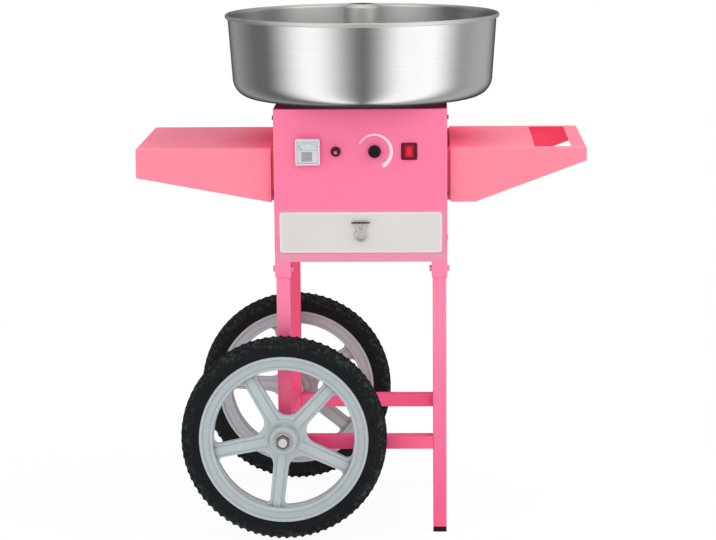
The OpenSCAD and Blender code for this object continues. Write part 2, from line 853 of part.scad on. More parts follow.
// The hanging loop: an eye on each end of the pin, two arms and the finger ring
module pull_ring() {
    ring_z = pull_z - pull_drop;
    eye_r = pull_knuckle_r - side_play;
    arm_drop = pull_drop - pull_ring_r;
    arm_in = pull_arm_x - pull_ring_r / 2;
    color(steel) difference() {
        union() {
            rod_x(eye_r, -pull_arm_x - pull_arm_w / 2, pull_arm_x + pull_arm_w / 2, pull_pin_y, pull_z);
            translate([0, pull_pin_y, ring_z]) rotate([90, 0, 0])
                rotate_extrude() translate([pull_ring_r, 0]) circle(r = pull_wire_r);
            both_sides() translate([pull_arm_x, pull_pin_y, pull_z])
                rotate([0, 180 + atan2(arm_in, arm_drop), 0])
                cylinder(r = pull_wire_r, h = norm([arm_in, arm_drop]));
        }
        rod_x(pull_pin_r + run_fit, -pull_w, pull_w, pull_pin_y, pull_z);
    }
}

// Machine housing

module base_plate() { color(pink) body_block(box_z1, machine_z0); }

// Side screws at the four corners of the housing's front, as places in Y and Z
side_screw_y = front_y + side_screw_inset;
side_screw_zs = [machine_z0 + side_screw_end, machine_z1 - side_screw_end];

// Sides and back in one folded sheet, with vents beside the motor
module housing_shell() {
    vent_z = machine_z1 - vent_top;
    color(pink) difference() {
        intersection() {
            box(-half_w, half_w, front_y + sheet, half_d, machine_z0, machine_z1);
            body_block(machine_z0, machine_z1);
        }
        box(-inner_w, inner_w, front_y, half_d - sheet, machine_z0 - over, machine_z1 + over);
        for (z = side_screw_zs)
            rod_x(side_screw_r + hole_fit, -body_w, body_w, side_screw_y, z);
        for (i = [0 : vent_count - 1]) translate([0, 0, vent_z - i * vent_pitch])
            box(-body_w, body_w, -vent_len / 2, vent_len / 2, -vent_h, 0);
        rod_y(gland_r + hole_fit, 0, body_d, gland_x, machine_z0 + gland_h);
    }
}

// The control panel, with a flange behind each edge that the side screws hold
module front_panel() {
    flange_x = inner_w - sheet;
    color(pink) difference() {
        union() {
            intersection() {
                box(-half_w, half_w, front_y, front_y + sheet, machine_z0, machine_z1);
                body_block(machine_z0, machine_z1);
            }
            both_sides()
                box(flange_x, inner_w, front_y + sheet, front_y + sheet + flange_len, machine_z0, machine_z1);
        }
        for (z = side_screw_zs)
            rod_x(side_screw_r + hole_fit, -body_w, body_w, side_screw_y, z);
        panel_hole(meter_barrel_r, -meter_x);
        panel_hole(fuse_barrel_r, -fuse_x);
        panel_hole(pot_bush_r, knob_x);
        translate([switch_x, 0, control_z])
            box(-switch_hole_w / 2, switch_hole_w / 2, front_y - over, front_y + sheet + over,
                -switch_hole_h / 2, switch_hole_h / 2);
    }
}

module panel_hole(r, x) { rod_y(r + hole_fit, front_y - over, front_y + sheet + over, x, control_z); }

module top_deck() {
    color(pink) difference() {
        body_block(machine_z1, deck_z);
        rod_z(holder_r + hole_fit, machine_z1 - over, deck_z + over);
    }
}

// Pan-head screws: four in the housing's sides, three in each shelf
module housing_screws() {
    color(zinc) both_sides() {
        for (z = side_screw_zs)
            side_screw(half_w, half_w - 2 * sheet - side_screw_tail, side_screw_y, z);
        for (i = [-1, 0, 1])
            side_screw(shelf_x0 + sheet, shelf_x0 - sheet - side_screw_tail / 2,
                i * shelf_screw_pitch, shelf_screw_z);
    }
}
module side_screw(x_face, x_tip, y, z) {
    rod_x(side_screw_head_r, x_face, x_face + side_screw_head_t, y, z);
    rod_x(side_screw_r, x_tip, x_face, y, z);
}

// Motor, spindle and current supply

// A plate under the top deck on four posts, which carries the motor
module motor_bracket() {
    half = bracket_plate_w / 2;
    color(zinc) difference() {
        union() {
            box(-half, half, -half, half, bracket_z0, bracket_z1);
            for (sx = [-1, 1], sy = [-1, 1])
                rod_z(post_r, bracket_z1, machine_z1, sx * post_place, sy * post_place);
        }
        rod_z(motor_boss_r + hole_fit, bracket_z0 - over, bracket_z1 + over);
    }
}

module motor_body() {
    color(black) difference() {
        union() {
            rod_z(motor_r, motor_z0, bracket_z0);
            rod_z(motor_boss_r, bracket_z0, bracket_z1);
        }
        rod_z(spindle_r + run_fit, motor_z0 - over, bracket_z1 + over);
    }
}

// A flanged holder in the deck, with a bearing in each end
module bearing_holder() {
    color(zinc) difference() {
        union() {
            rod_z(holder_r, holder_z0, holder_z1);
            rod_z(holder_flange_r, deck_z, deck_z + holder_flange_t);
        }
        rod_z(holder_bore_r, holder_z0 - over, holder_z1 + over);
        rod_z(bearing_r + seat_fit, holder_z0 - over, holder_z0 + bearing_h);
        rod_z(bearing_r + seat_fit, holder_z1 - bearing_h, holder_z1 + over);
    }
}

module spindle_bearings() {
    color(steel) for (z = [holder_z0, holder_z1 - bearing_h]) difference() {
        ring_z(spindle_r + run_fit, bearing_r, z, z + bearing_h);
        ring_z(spindle_r + bearing_edge, bearing_r - bearing_edge,
            z + bearing_h - bearing_edge / 2, z + bearing_h + over);
    }
}

module spindle() {
    color(steel) {
        rod_z(spindle_r, motor_z0 - spindle_tail, spindle_z1);
        rod_z(spindle_shoulder_r, head_z0 - spindle_shoulder_h, head_z0);
    }
}

// An insulating sleeve with two contact rings, on the spindle
module slip_rings() {
    color([0.72, 0.45, 0.20]) difference() {
        union() {
            rod_z(ring_sleeve_r, ring_z0, ring_z1);
            for (i = [0, 1]) translate([0, 0, ring_z0 + i * ring_pitch]) rod_z(ring_r, ring_gap, ring_pitch);
        }
        rod_z(spindle_r + seat_fit, ring_z0 - over, ring_z1 + over);
    }
}

// The block on the motor bracket that holds a carbon brush against each ring
module brush_block() {
    tip = ring_r + brush_gap;
    root = tip + brush_len;
    color(black) {
        box(root, root + brush_block_w, -brush_block_d / 2, brush_block_d / 2, bracket_z1, ring_z1);
        for (i = [0, 1]) translate([0, 0, ring_z0 + i * ring_pitch])
            box(tip, root, -brush_w / 2, brush_w / 2, ring_gap, ring_pitch);
    }
}

// Spinning head

// A dish on the spindle's shoulder
module spinner_base() {
    color(steel) rotate_extrude() polygon([
        [spindle_r + seat_fit, head_z0], [head_r, head_z0], [head_r, head_floor_z + head_lip],
        [head_r - head_wall, head_floor_z + head_lip], [head_r - head_wall, head_floor_z],
        [head_hub_r, head_floor_z], [head_hub_r, head_nut_z], [spindle_r + seat_fit, head_nut_z]
    ]);
}

// A ceramic ring with the heating wire's grooves, on the dish
module heater_ring() {
    z1 = head_floor_z + heater_h;
    mid = heater_r - heater_w / 2;
    color(pale) rotate_extrude() polygon([
        [heater_r - heater_w, head_floor_z], [heater_r, head_floor_z], [heater_r, z1],
        [mid + heater_groove / 2, z1], [mid + heater_groove / 2, z1 - heater_groove],
        [mid - heater_groove / 2, z1 - heater_groove], [mid - heater_groove / 2, z1],
        [heater_r - heater_w, z1]
    ]);
}

// The slotted band that the sugar is thrown through
module floss_band() {
    out = head_r - head_wall - seat_fit;
    color(steel) difference() {
        ring_z(out - head_wall, out, head_floor_z, band_z1);
        for (i = [0 : slot_count - 1]) rotate(i * 360 / slot_count)
            box(out - 2 * head_wall, out + over, -band_slot_w / 2, band_slot_w / 2,
                head_floor_z + head_lip + band_slot_margin / 2, band_z1 - band_slot_margin);
    }
}

// A cone with the sugar cup on it, open from the mouth down into the head
module spinner_cover() {
    wall = head_wall;
    color(steel) rotate_extrude() polygon([
        [head_r - 2 * wall, band_z1], [head_r, band_z1], [head_r, band_z1 + wall],
        [cup_r, cone_z1], [cup_r, cup_z1], [cup_mouth_r + wall, head_z1], [cup_mouth_r, head_z1],
        [cup_mouth_r, head_z1 - wall], [cup_r - wall, cup_z1 - wall], [cup_r - wall, cone_z1]
    ]);
}

module head_nut() {
    color(zinc) difference() {
        translate([0, 0, head_nut_z]) cylinder(d = head_nut_af / cos(30), h = head_nut_t, $fn = 6);
        rod_z(spindle_r + seat_fit, head_nut_z - over, head_nut_z + head_nut_t + over);
    }
}

// Bowl

// One pressed sheet: a collar, a floor, a curve, a slightly open side and a wired lip
module bowl() {
    wall = bowl_wall;
    arc_z = bowl_z0 + bowl_corner_r;
    color(steel) {
        rotate_extrude() polygon(concat(
            [[bowl_hole_r, bowl_z0 + bowl_collar_h], [bowl_hole_r, bowl_z0]],
            arc(bowl_floor_r, arc_z, bowl_corner_r, -90, 0, bowl_arc_steps),
            [[bowl_top_r, lip_z], [bowl_top_r - wall, lip_z]],
            arc(bowl_floor_r, arc_z, bowl_corner_r - wall, 0, -90, bowl_arc_steps),
            [[bowl_hole_r + wall, bowl_z0 + wall], [bowl_hole_r + wall, bowl_z0 + bowl_collar_h]]
        ));
        rotate_extrude() translate([lip_mid_r, lip_z]) circle(r = lip_r);
    }
}

// Four rubber pads on the deck's diagonals
module bowl_pads() {
    color(rubber_black) for (a = [45 : 90 : 315]) rotate(a) rod_z(pad_r, deck_z, bowl_z0 - bowl_rest, pad_place);
}

// Controls

// The square frame and the round barrel of the voltmeter
module voltmeter_case() {
    in_w = meter_w / 2 - meter_rim;
    in_h = meter_h / 2 - meter_rim;
    color(pale) translate([-meter_x, 0, control_z]) difference() {
        union() {
            box(-meter_w / 2, meter_w / 2, front_y - meter_t, front_y, -meter_h / 2, meter_h / 2);
            rod_y(meter_barrel_r, front_y, front_y + meter_barrel_len, 0, 0);
        }
        box(-in_w, in_w, front_y - meter_t - over, front_y - meter_floor, -in_h, in_h);
    }
}

// The dial, with its needle
module voltmeter_dial() {
    in_w = meter_w / 2 - meter_rim - hole_fit;
    in_h = meter_h / 2 - meter_rim - hole_fit;
    root = -in_h * needle_root_share;
    y = front_y - meter_floor - dial_t;
    color([0.95, 0.95, 0.93]) translate([-meter_x, 0, control_z]) {
        box(-in_w, in_w, y, y + dial_t, -in_h, in_h);
        translate([0, 0, root]) rotate([0, needle_angle - 90, 0])
            box(-needle_w / 2, needle_w / 2, y - needle_t, y, 0, meter_h * needle_len_share);
    }
}

// The clear cover in front of the dial
module voltmeter_window() {
    in_w = meter_w / 2 - meter_rim - hole_fit;
    in_h = meter_h / 2 - meter_rim - hole_fit;
    color([0.90, 0.95, 0.98, 0.4]) translate([-meter_x, 0, control_z])
        box(-in_w, in_w, front_y - meter_t, front_y - meter_t + window_t, -in_h, in_h);
}

module fuse_holder() {
    color(black) difference() {
        union() {
            rod_y(fuse_r, front_y - fuse_collar_t, front_y, -fuse_x, control_z);
            rod_y(fuse_barrel_r, front_y, front_y + fuse_barrel_len, -fuse_x, control_z);
        }
        rod_y(fuse_stem_r + run_fit, front_y - fuse_collar_t - over,
            front_y - fuse_collar_t + fuse_stem_len + over, -fuse_x, control_z);
    }
}

// The cap that turns to free the fuse, with a driver slot
module fuse_cap() {
    y1 = front_y - fuse_collar_t - side_play;
    y0 = y1 - fuse_cap_t;
    color([0.25, 0.04, 0.07]) difference() {
        union() {
            rod_y(fuse_cap_r, y0, y1, -fuse_x, control_z);
            rod_y(fuse_stem_r, y1, y1 + fuse_stem_len, -fuse_x, control_z);
        }
        translate([-fuse_x, 0, control_z]) box(-fuse_cap_r, fuse_cap_r, y0 - over, y0 + fuse_slot_d,
            -fuse_slot_w / 2, fuse_slot_w / 2);
    }
}

// The heat control behind the panel, its bush in the panel's hole
module potentiometer() {
    y1 = front_y + sheet;
    color(zinc) difference() {
        union() {
            rod_y(pot_bush_r, front_y, y1, knob_x, control_z);
            rod_y(pot_r, y1, y1 + pot_h, knob_x, control_z);
        }
        rod_y(knob_shaft_r + run_fit, front_y - over, y1 + pot_h + over, knob_x, control_z);
    }
}

// A skirted knob with its shaft and a pointer groove
module heat_knob() {
    y1 = front_y - knob_gap;
    y0 = y1 - knob_h;
    color(black) translate([knob_x, 0, control_z]) difference() {
        union() {
            rod_y(knob_r, y1 - knob_skirt_h, y1, 0, 0);
            rod_y(knob_grip_r, y0, y1, 0, 0);
            rod_y(knob_shaft_r, y1, front_y + sheet + pot_h, 0, 0);
        }
        box(-knob_mark_w / 2, knob_mark_w / 2, y0 - over, y0 + knob_mark_d, 0, knob_r);
    }
}

// The switch's frame and body, with a cavity and pin holes for the rocker
module switch_body() {
    cavity_w = rocker_w / 2 + rocker_wall;
    pin = rocker_w / 2 + rocker_pin_reach + rocker_wall;
    color(black) translate([switch_x, 0, control_z]) difference() {
        union() {
            box(-switch_w / 2, switch_w / 2, front_y - switch_frame_t, front_y, -switch_h / 2, switch_h / 2);
            box(-switch_body_w / 2, switch_body_w / 2, front_y, front_y + switch_body_len,
                -switch_body_h / 2, switch_body_h / 2);
        }
        box(-cavity_w, cavity_w, front_y - switch_frame_t - over, front_y + cavity_depth,
            -cavity_h / 2, cavity_h / 2);
        rod_x(rocker_pin_r + run_fit, -pin, pin, front_y, 0);
    }
}

// The rocker at rest in its off position, on its pivot pins
module switch_rocker() {
    end = rocker_h / 2;
    back = end * rocker_back_share;
    pin = rocker_w / 2 + rocker_pin_reach;
    color([0.80, 0.06, 0.14]) translate([switch_x, front_y, control_z]) rotate([-rocker_travel / 2, 0, 0]) {
        translate([-rocker_w / 2, 0, 0]) rotate([90, 0, 90]) linear_extrude(rocker_w)
            polygon([
                [-rocker_end, -end], [-rocker_dip, 0], [-rocker_end, end],
                [rocker_back, back], [rocker_back, -back]
            ]);
        rod_x(rocker_pin_r, -pin, pin, 0, 0);
    }
}

// The bush in the back that a mains cord passes through
module cord_gland() {
    y0 = half_d - sheet - gland_inside;
    y1 = half_d + gland_flange_t;
    color(black) translate([gland_x, 0, machine_z0 + gland_h]) difference() {
        union() {
            rod_y(gland_flange_r, half_d, y1, 0, 0);
            rod_y(gland_r, y0, half_d, 0, 0);
            rod_y(gland_flange_r, half_d - sheet - gland_nut_t, half_d - sheet, 0, 0);
        }
        rod_y(gland_bore_r, y0 - over, y1 + over, 0, 0);
    }
}

// Shelves

// A strip along +X, round at the corners of its far end
module bent_edges(x0, x1, half) {
    translate([x0, -half]) square([x1 - x0 - bend_r, 2 * half]);
    translate([x0, -half + bend_r]) square([x1 - x0, 2 * half - 2 * bend_r]);
    for (s = [-1, 1]) translate([x1 - bend_r, s * (half - bend_r)]) circle(r = bend_r);
}

// A folded shelf along +X from an apron outline: a top, aprons, an end and a flange at the bracket
module folded_shelf(outline) {
    edge = shelf_d / 2;
    difference() {
        intersection() {
            translate([0, edge, 0]) rotate([90, 0, 0]) linear_extrude(shelf_d)
                polygon(concat(outline, arc(shelf_x1 - bend_r, shelf_z - bend_r, bend_r, 0, 90, bend_steps)));
            translate([0, 0, apron_z0]) linear_extrude(apron_h) bent_edges(shelf_x0, shelf_x1, edge);
            translate([shelf_x0, 0, 0]) rotate([90, 0, 90]) linear_extrude(shelf_len)
                rotate(90) bent_edges(apron_z0, shelf_z, edge);
        }
        box(shelf_x0 + sheet, shelf_x1 - sheet, -edge + sheet, edge - sheet,
            apron_z0 - over, shelf_z - sheet);
        for (i = [-1, 0, 1])
            rod_x(side_screw_r + hole_fit, shelf_x0 - over, shelf_x0 + sheet + over,
                i * shelf_screw_pitch, shelf_screw_z);
    }
}

// The left shelf's apron tapers all the way to its end
module left_shelf() {
    color(pink) mirror([1, 0, 0]) folded_shelf([
        [shelf_x0, shelf_z], [shelf_x0, apron_z0], [shelf_x1, shelf_z - left_end_h]
    ]);
}

// The right shelf tapers after a short straight length, and has a hand slot to push the cart by
module right_shelf() {
    slot_x1 = shelf_x1 - grip_w;
    color(pink) difference() {
        folded_shelf([
            [shelf_x0, shelf_z], [shelf_x0, apron_z0], [shelf_x0 + right_knee, apron_z0],
            [shelf_x1, shelf_z - right_end_h]
        ]);
        box(slot_x1 - slot_w, slot_x1, -slot_len / 2, slot_len / 2, shelf_z - sheet - over, shelf_z + over);
    }
}

// A shallow hat section between each side of the housing and its shelf
module shelf_brackets() {
    half = bracket_len / 2;
    color(pink) both_sides() difference() {
        box(half_w, shelf_x0, -half, half, apron_z0 + sheet, shelf_z - sheet);
        box(half_w - over, shelf_x0 - sheet, -half + sheet, half - sheet, apron_z0, shelf_z);
        for (i = [-1, 0, 1])
            rod_x(side_screw_r + hole_fit, half_w, shelf_x0 + over, i * shelf_screw_pitch, shelf_screw_z);
    }
}

front_left_leg();
rear_left_leg();
front_right_leg();
rear_right_leg();
leg_sockets();
socket_bolts();
front_rail();
rear_rail();
cross_rail();
rail_screws();
leg_feet();
axle();
axle_washers();
axle_nuts();
front_rim();
front_tyre();
front_bush();
rear_rim();
rear_tyre();
rear_bush();
drawer_housing();
drawer_runners();
drawer_tray();
drawer_slides();
drawer_front();
pull_plate();
pull_pin();
pull_ring();
base_plate();
housing_shell();
front_panel();
top_deck();
housing_screws();
motor_bracket();
motor_body();
bearing_holder();
spindle_bearings();
spindle();
slip_rings();
brush_block();
spinner_base();
heater_ring();
floss_band();
spinner_cover();
head_nut();
bowl();
bowl_pads();
voltmeter_case();
voltmeter_dial();
voltmeter_window();
fuse_holder();
fuse_cap();
potentiometer();
heat_knob();
switch_body();
switch_rocker();
cord_gland();
left_shelf();
right_shelf();
shelf_brackets();
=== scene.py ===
# %% [markdown]
# A cotton candy cart: a pink sheet-metal stand and housing, two grey spoked wheels, a big
# stainless bowl with a spinning head in it, and a row of controls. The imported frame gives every
# solid of the cart at its real place, in metres. One could give each solid a finish and stop there,
# but solids have hard edges. So the pieces whose roundings catch the light are made again here as
# surfaces, and the others keep their solid and only get a finish.

# %% Load the frame
import json
import bmesh
import bpy
import mathutils
import numpy as np
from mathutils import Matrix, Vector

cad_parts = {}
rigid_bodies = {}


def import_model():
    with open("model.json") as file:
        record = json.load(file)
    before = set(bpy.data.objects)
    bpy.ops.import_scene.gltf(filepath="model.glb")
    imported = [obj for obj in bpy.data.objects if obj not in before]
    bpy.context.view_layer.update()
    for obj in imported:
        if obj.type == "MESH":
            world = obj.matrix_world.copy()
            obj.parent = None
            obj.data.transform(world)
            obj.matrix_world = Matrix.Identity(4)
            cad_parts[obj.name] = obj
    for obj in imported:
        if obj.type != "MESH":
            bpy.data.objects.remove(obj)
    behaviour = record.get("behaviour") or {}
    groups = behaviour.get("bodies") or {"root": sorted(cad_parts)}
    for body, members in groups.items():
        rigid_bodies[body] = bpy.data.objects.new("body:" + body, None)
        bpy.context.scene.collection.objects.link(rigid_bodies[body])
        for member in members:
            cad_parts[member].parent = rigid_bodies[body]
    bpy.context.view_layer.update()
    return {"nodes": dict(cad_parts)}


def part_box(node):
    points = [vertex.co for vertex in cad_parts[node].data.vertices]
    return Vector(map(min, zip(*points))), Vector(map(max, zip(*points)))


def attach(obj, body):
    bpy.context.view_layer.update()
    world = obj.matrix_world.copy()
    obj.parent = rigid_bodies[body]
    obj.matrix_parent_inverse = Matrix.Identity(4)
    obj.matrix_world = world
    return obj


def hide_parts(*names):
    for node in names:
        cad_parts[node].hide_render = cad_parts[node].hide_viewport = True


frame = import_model()
scene = bpy.context.scene
scene.view_settings.view_transform = "Standard"

# %% [markdown]
# The camera stands about four and a half metres in front of the cart, a little to its right and
# a little above it, and looks slightly down. A long lens keeps the cart's uprights nearly parallel.
# A Track To constraint could aim it. Here its three directions are worked out from three angles,
# because that also allows a slight roll.

# %% Camera
film_mm, focal_pixels, picture_pixels = 36, 2393.9, 716
stand_at = np.array([129.3, -4492.3, 1289.9]) / 1000
yaw, pitch, roll = -0.0313, 0.1816, -0.0082
ahead = np.array([np.sin(yaw) * np.cos(pitch), np.cos(yaw) * np.cos(pitch), -np.sin(pitch)])
right = np.array([np.cos(yaw), -np.sin(yaw), 0])
up = np.cross(right, ahead)
right, up = np.cos(roll) * right + np.sin(roll) * up, np.cos(roll) * up - np.sin(roll) * right

lens = bpy.data.cameras.new("camera")
lens.sensor_fit, lens.sensor_width, lens.clip_end = "HORIZONTAL", film_mm, 100
lens.lens = film_mm * focal_pixels / picture_pixels
camera = bpy.data.objects.new("camera", lens)
scene.collection.objects.link(camera)
place = np.eye(4)
place[:3] = np.column_stack([right, up, -ahead, stand_at])
camera.matrix_world = mathutils.Matrix(place.tolist())
scene.camera = camera
print("camera", stand_at.round(3), "lens", round(lens.lens, 1), "mm")

# %% [markdown]
# Finishes are node trees. They could be wired by hand in the Shader Editor; in a script two small
# helpers carry all of them. One turns a hex colour into the linear numbers that light works in, and
# one adds a node with its settings and its links. A third starts a finish with one shader, whose
# plain numbers are set on the shader itself.

# %% Colour and node helpers
def linear(hex_colour, shade=1.0):
    """sRGB to linear: a straight line in the darkest part, a power of 2.4 above it, times shade."""
    c = np.array([int(hex_colour[i:i + 2], 16) for i in (1, 3, 5)]) / 255
    c = np.where(c <= 0.04045, c / 12.92, ((c + 0.055) / 1.055) ** 2.4) * shade
    return (*np.clip(c, 0, 1).tolist(), 1.0)


def add(tree, kind, sockets={}, **settings):
    """Adds one node: settings are its properties, and each socket gets a value or a link."""
    node = tree.nodes.new("ShaderNode" + kind)
    for name, value in settings.items():
        setattr(node, name, value)
    for name, value in sockets.items():
        if isinstance(value, bpy.types.NodeSocket):
            tree.links.new(value, node.inputs[name])
        else:
            node.inputs[name].default_value = value
    return node.outputs


def finish(name, **numbers):
    """A material with one Principled shader, its plain numbers set by socket name."""
    made = bpy.data.materials.new(name)
    made.use_nodes = True
    tree = made.node_tree
    shader = tree.nodes["Principled BSDF"]
    for socket, value in numbers.items():
        shader.inputs[socket.replace("_", " ")].default_value = value
    return made, tree, shader.inputs, add(tree, "TexCoord")


def per_mm(size):
    """Pattern scale for a grain of that many millimetres: so many grains in a metre."""
    return 1000 / size


print("pink as light:", [round(x, 3) for x in linear("#FD81A6")])

# %% [markdown]
# The cart stands on a plain pale floor that runs out of the picture on every side. A shadow catcher
# would need compositing, so the floor does the work itself: what the camera or a reflection sees of
# it is mostly white, and the rest is real light, so the cart still throws a soft shadow. Past two
# metres it is all white.

# %% Floor
white_light = (1, 1, 1, 1)
floor_m, floor_sides, floor_z = 40, 96, -0.0003


def seen_directly(tree):
    """1 for rays from the camera, from gloss or through glass, 0 for light between matt surfaces."""
    path = add(tree, "LightPath")
    eye = add(tree, "Math", {0: path["Is Camera Ray"], 1: path["Is Glossy Ray"]}, operation="MAXIMUM")[0]
    return add(tree, "Math", {0: eye, 1: path["Is Transmission Ray"]}, operation="MAXIMUM")[0]


# A matt off-white: to the eye a white ground with a soft grey shadow round the feet and tyres.
floor_white, tree, shader, where = finish("pale studio floor")
shader["Base Color"].default_value = linear("#F2F1EF")
speck = add(tree, "TexNoise", {"Vector": where["Object"], "Scale": per_mm(40)})["Fac"]
speck = add(tree, "MapRange", {"Value": speck, "To Min": 0.86, "To Max": 0.94})[0]
tree.links.new(speck, shader["Roughness"])
far = add(tree, "VectorMath", {0: where["Object"]}, operation="LENGTH")["Value"]
white = add(tree, "MapRange", {"Value": far, "From Min": 0.5, "From Max": 2.0, "To Min": 0.94, "To Max": 1},
            interpolation_type="SMOOTHSTEP")[0]
white = add(tree, "Math", {0: white, 1: seen_directly(tree)}, operation="MULTIPLY")[0]
glow = add(tree, "Emission", {"Color": white_light, "Strength": 1.0})[0]
mixed = add(tree, "MixShader", {0: white, 1: tree.nodes["Principled BSDF"].outputs[0], 2: glow})[0]
tree.links.new(mixed, tree.nodes["Material Output"].inputs["Surface"])

turn = np.linspace(0, 2 * np.pi, floor_sides + 1)[:-1]
floor_points = np.column_stack([floor_m * np.cos(turn), floor_m * np.sin(turn), np.full(floor_sides, floor_z)])
floor_mesh = bpy.data.meshes.new("studio_floor")
floor_mesh.from_pydata(floor_points.tolist(), [], [list(range(floor_sides))])
floor_mesh.materials.append(floor_white)
floor = bpy.data.objects.new("studio_floor", floor_mesh)
scene.collection.objects.link(floor)
print("floor", floor_m, "m to each side")

# %% [markdown]
# The world round the cart is a big white studio. It is white to the eye, and gives a weaker, even
# light to everything that is matt. An environment picture would light it with more variety, but a
# plain level keeps the pink even.

# %% World
matt_level = 0.75
world = bpy.data.worlds.new("studio")
scene.world = world
world.use_nodes = True
tree = world.node_tree
level = add(tree, "MapRange", {"Value": seen_directly(tree), "To Min": matt_level, "To Max": 1.0})[0]
tree.links.new(level, tree.nodes["Background"].inputs["Strength"])
tree.nodes["Background"].inputs["Color"].default_value = white_light
print("world level for matt surfaces:", matt_level)

# %% [markdown]
# Five large soft lamps light the cart: two in front of it, one on each side and one above. Sun lamps
# would give hard edges to the shadows; lamps that are bigger than the cart give soft ones. Each
# stands on a circle round the cart, so its place is one angle, one distance and one height.

# %% Lamps
aim = mathutils.Vector((0, 0, 0.55))


def soft_lamp(name, azimuth, distance, height, size, watts):
    """A square lamp on a circle round the cart, aimed at its middle; azimuth 0 is the camera's side."""
    light = bpy.data.lights.new(name, "AREA")
    light.shape, light.size, light.energy = "SQUARE", size, watts
    lamp = bpy.data.objects.new(name, light)
    a = np.radians(azimuth)
    lamp.location = mathutils.Vector((distance * np.sin(a), -distance * np.cos(a), height))
    lamp.rotation_euler = (aim - lamp.location).to_track_quat("-Z", "Y").to_euler()
    scene.collection.objects.link(lamp)


# Azimuth in degrees, then distance, height and size in metres, and watts.
soft_lamp("left_lamp", -39, 2.7, 1.9, 2.0, 13)
soft_lamp("right_lamp", 50, 2.7, 2.6, 2.0, 16)
soft_lamp("left_side_lamp", -90, 1.6, 2.6, 1.4, 16)
soft_lamp("right_side_lamp", 90, 1.6, 2.6, 1.4, 27)
soft_lamp("top_lamp", 75, 0.8, 3.2, 2.4, 10)

# %% [markdown]
# A shiny bowl shows what stands round it, so a studio also has bright and dark panels that only
# reflections need. They could be single planes; here they are one curved wall, whose brightness is a
# smooth function of the direction round the cart: bright at both front sides, dim between them,
# lighter past the sides and dark right behind.

# %% Brightness of the reflected panels
def band(tree, value, middle, inner, outer, most=1.0, **settings):
    """A band across a value: most within inner of its middle, fading to 0 at outer."""
    off = add(tree, "Math", {0: value, 1: middle}, operation="SUBTRACT")[0]
    off = add(tree, "Math", {0: off}, operation="ABSOLUTE")[0]
    return add(tree, "MapRange", {"Value": off, "From Min": inner, "From Max": outer,
                                  "To Min": most, "To Max": 0.0}, **settings)[0]


# White cloth that glows: to the eye it is only there in the steel, as soft bright and dark bands.
panels, tree, _, where = finish("reflected studio panels")
flat = add(tree, "SeparateXYZ", {0: where["Object"]})
toward_camera = add(tree, "Math", {0: flat["Y"], 1: -1.0}, operation="MULTIPLY")[0]
azimuth = add(tree, "Math", {0: flat["X"], 1: toward_camera}, operation="ARCTAN2")[0]
aside = add(tree, "Math", {0: azimuth}, operation="ABSOLUTE")[0]
brightness = add(tree, "MapRange", {"Value": aside, "From Min": np.radians(98), "From Max": np.radians(138),
                                    "To Min": 0.165, "To Max": 0.40})[0]
behind = add(tree, "MapRange", {"Value": aside, "From Min": np.radians(131), "From Max": np.radians(158),
                                "To Min": 1.0, "To Max": 0.13})[0]
brightness = add(tree, "Math", {0: brightness, 1: behind}, operation="MULTIPLY")[0]
# Each panel: its middle, where it starts to fade and where it ends, in degrees, and its brightness.
for middle, inner, outer, gain in ((-41, 2, 45, 1.15), (47, 10, 46, 1.15), (100, 5, 60, 0.26)):
    lobe = band(tree, azimuth, *np.radians((middle, inner, outer)).tolist(), gain,
                interpolation_type="SMOOTHSTEP")
    brightness = add(tree, "Math", {0: lobe, 1: brightness}, operation="ADD")[0]
# The reflected floor is darker within 0.2 m of the middle: a painted shadow of the cart, seen in the bowl's
# underside.
out = add(tree, "VectorMath", {0: where["Object"]}, operation="LENGTH")["Value"]
under = add(tree, "MapRange", {"Value": out, "From Min": 0.02, "From Max": 0.2, "To Min": 0.3, "To Max": 1.0})[0]
brightness = add(tree, "Math", {0: brightness, 1: under}, operation="MULTIPLY")[0]
glow = add(tree, "Emission", {"Color": white_light, "Strength": brightness})[0]
tree.links.new(glow, tree.nodes["Material Output"].inputs["Surface"])
print("panels at -41 and 47 degrees, and a dim one at 100")

# %% [markdown]
# The wall itself is a round tub: a floor that starts at the cart's middle and a side that goes up
# past the bowl. A cylinder from the Add menu would do; three rings of points say it in fewer lines.
# Only glossy rays may see it, so every other kind of ray is switched off.

# %% Wall that carries the panels
wall_m, wall_sides = 1.7, 128
wall_rings = ((0.0005, 0.002), (1, 0.01), (1, 2.6))  # share of the radius, and height in metres
turn = np.linspace(0, 2 * np.pi, wall_sides + 1)[:-1]
ring = np.column_stack([wall_m * np.cos(turn), wall_m * np.sin(turn)])
wall_points = np.vstack([np.column_stack([ring * wide, np.full(wall_sides, z)]) for wide, z in wall_rings])
n = np.arange(wall_sides)
m = (n + 1) % wall_sides
wall_faces = np.vstack([np.column_stack([n, m, m + wall_sides, n + wall_sides]) + row for row in (0, wall_sides)])
wall_mesh = bpy.data.meshes.new("reflected_panels")
wall_mesh.from_pydata(wall_points.tolist(), [], wall_faces.tolist())
wall_mesh.materials.append(panels)
wall = bpy.data.objects.new("reflected_panels", wall_mesh)
scene.collection.objects.link(wall)
wall.visible_camera = wall.visible_diffuse = wall.visible_transmission = wall.visible_shadow = False
print("wall faces:", len(wall_mesh.polygons))
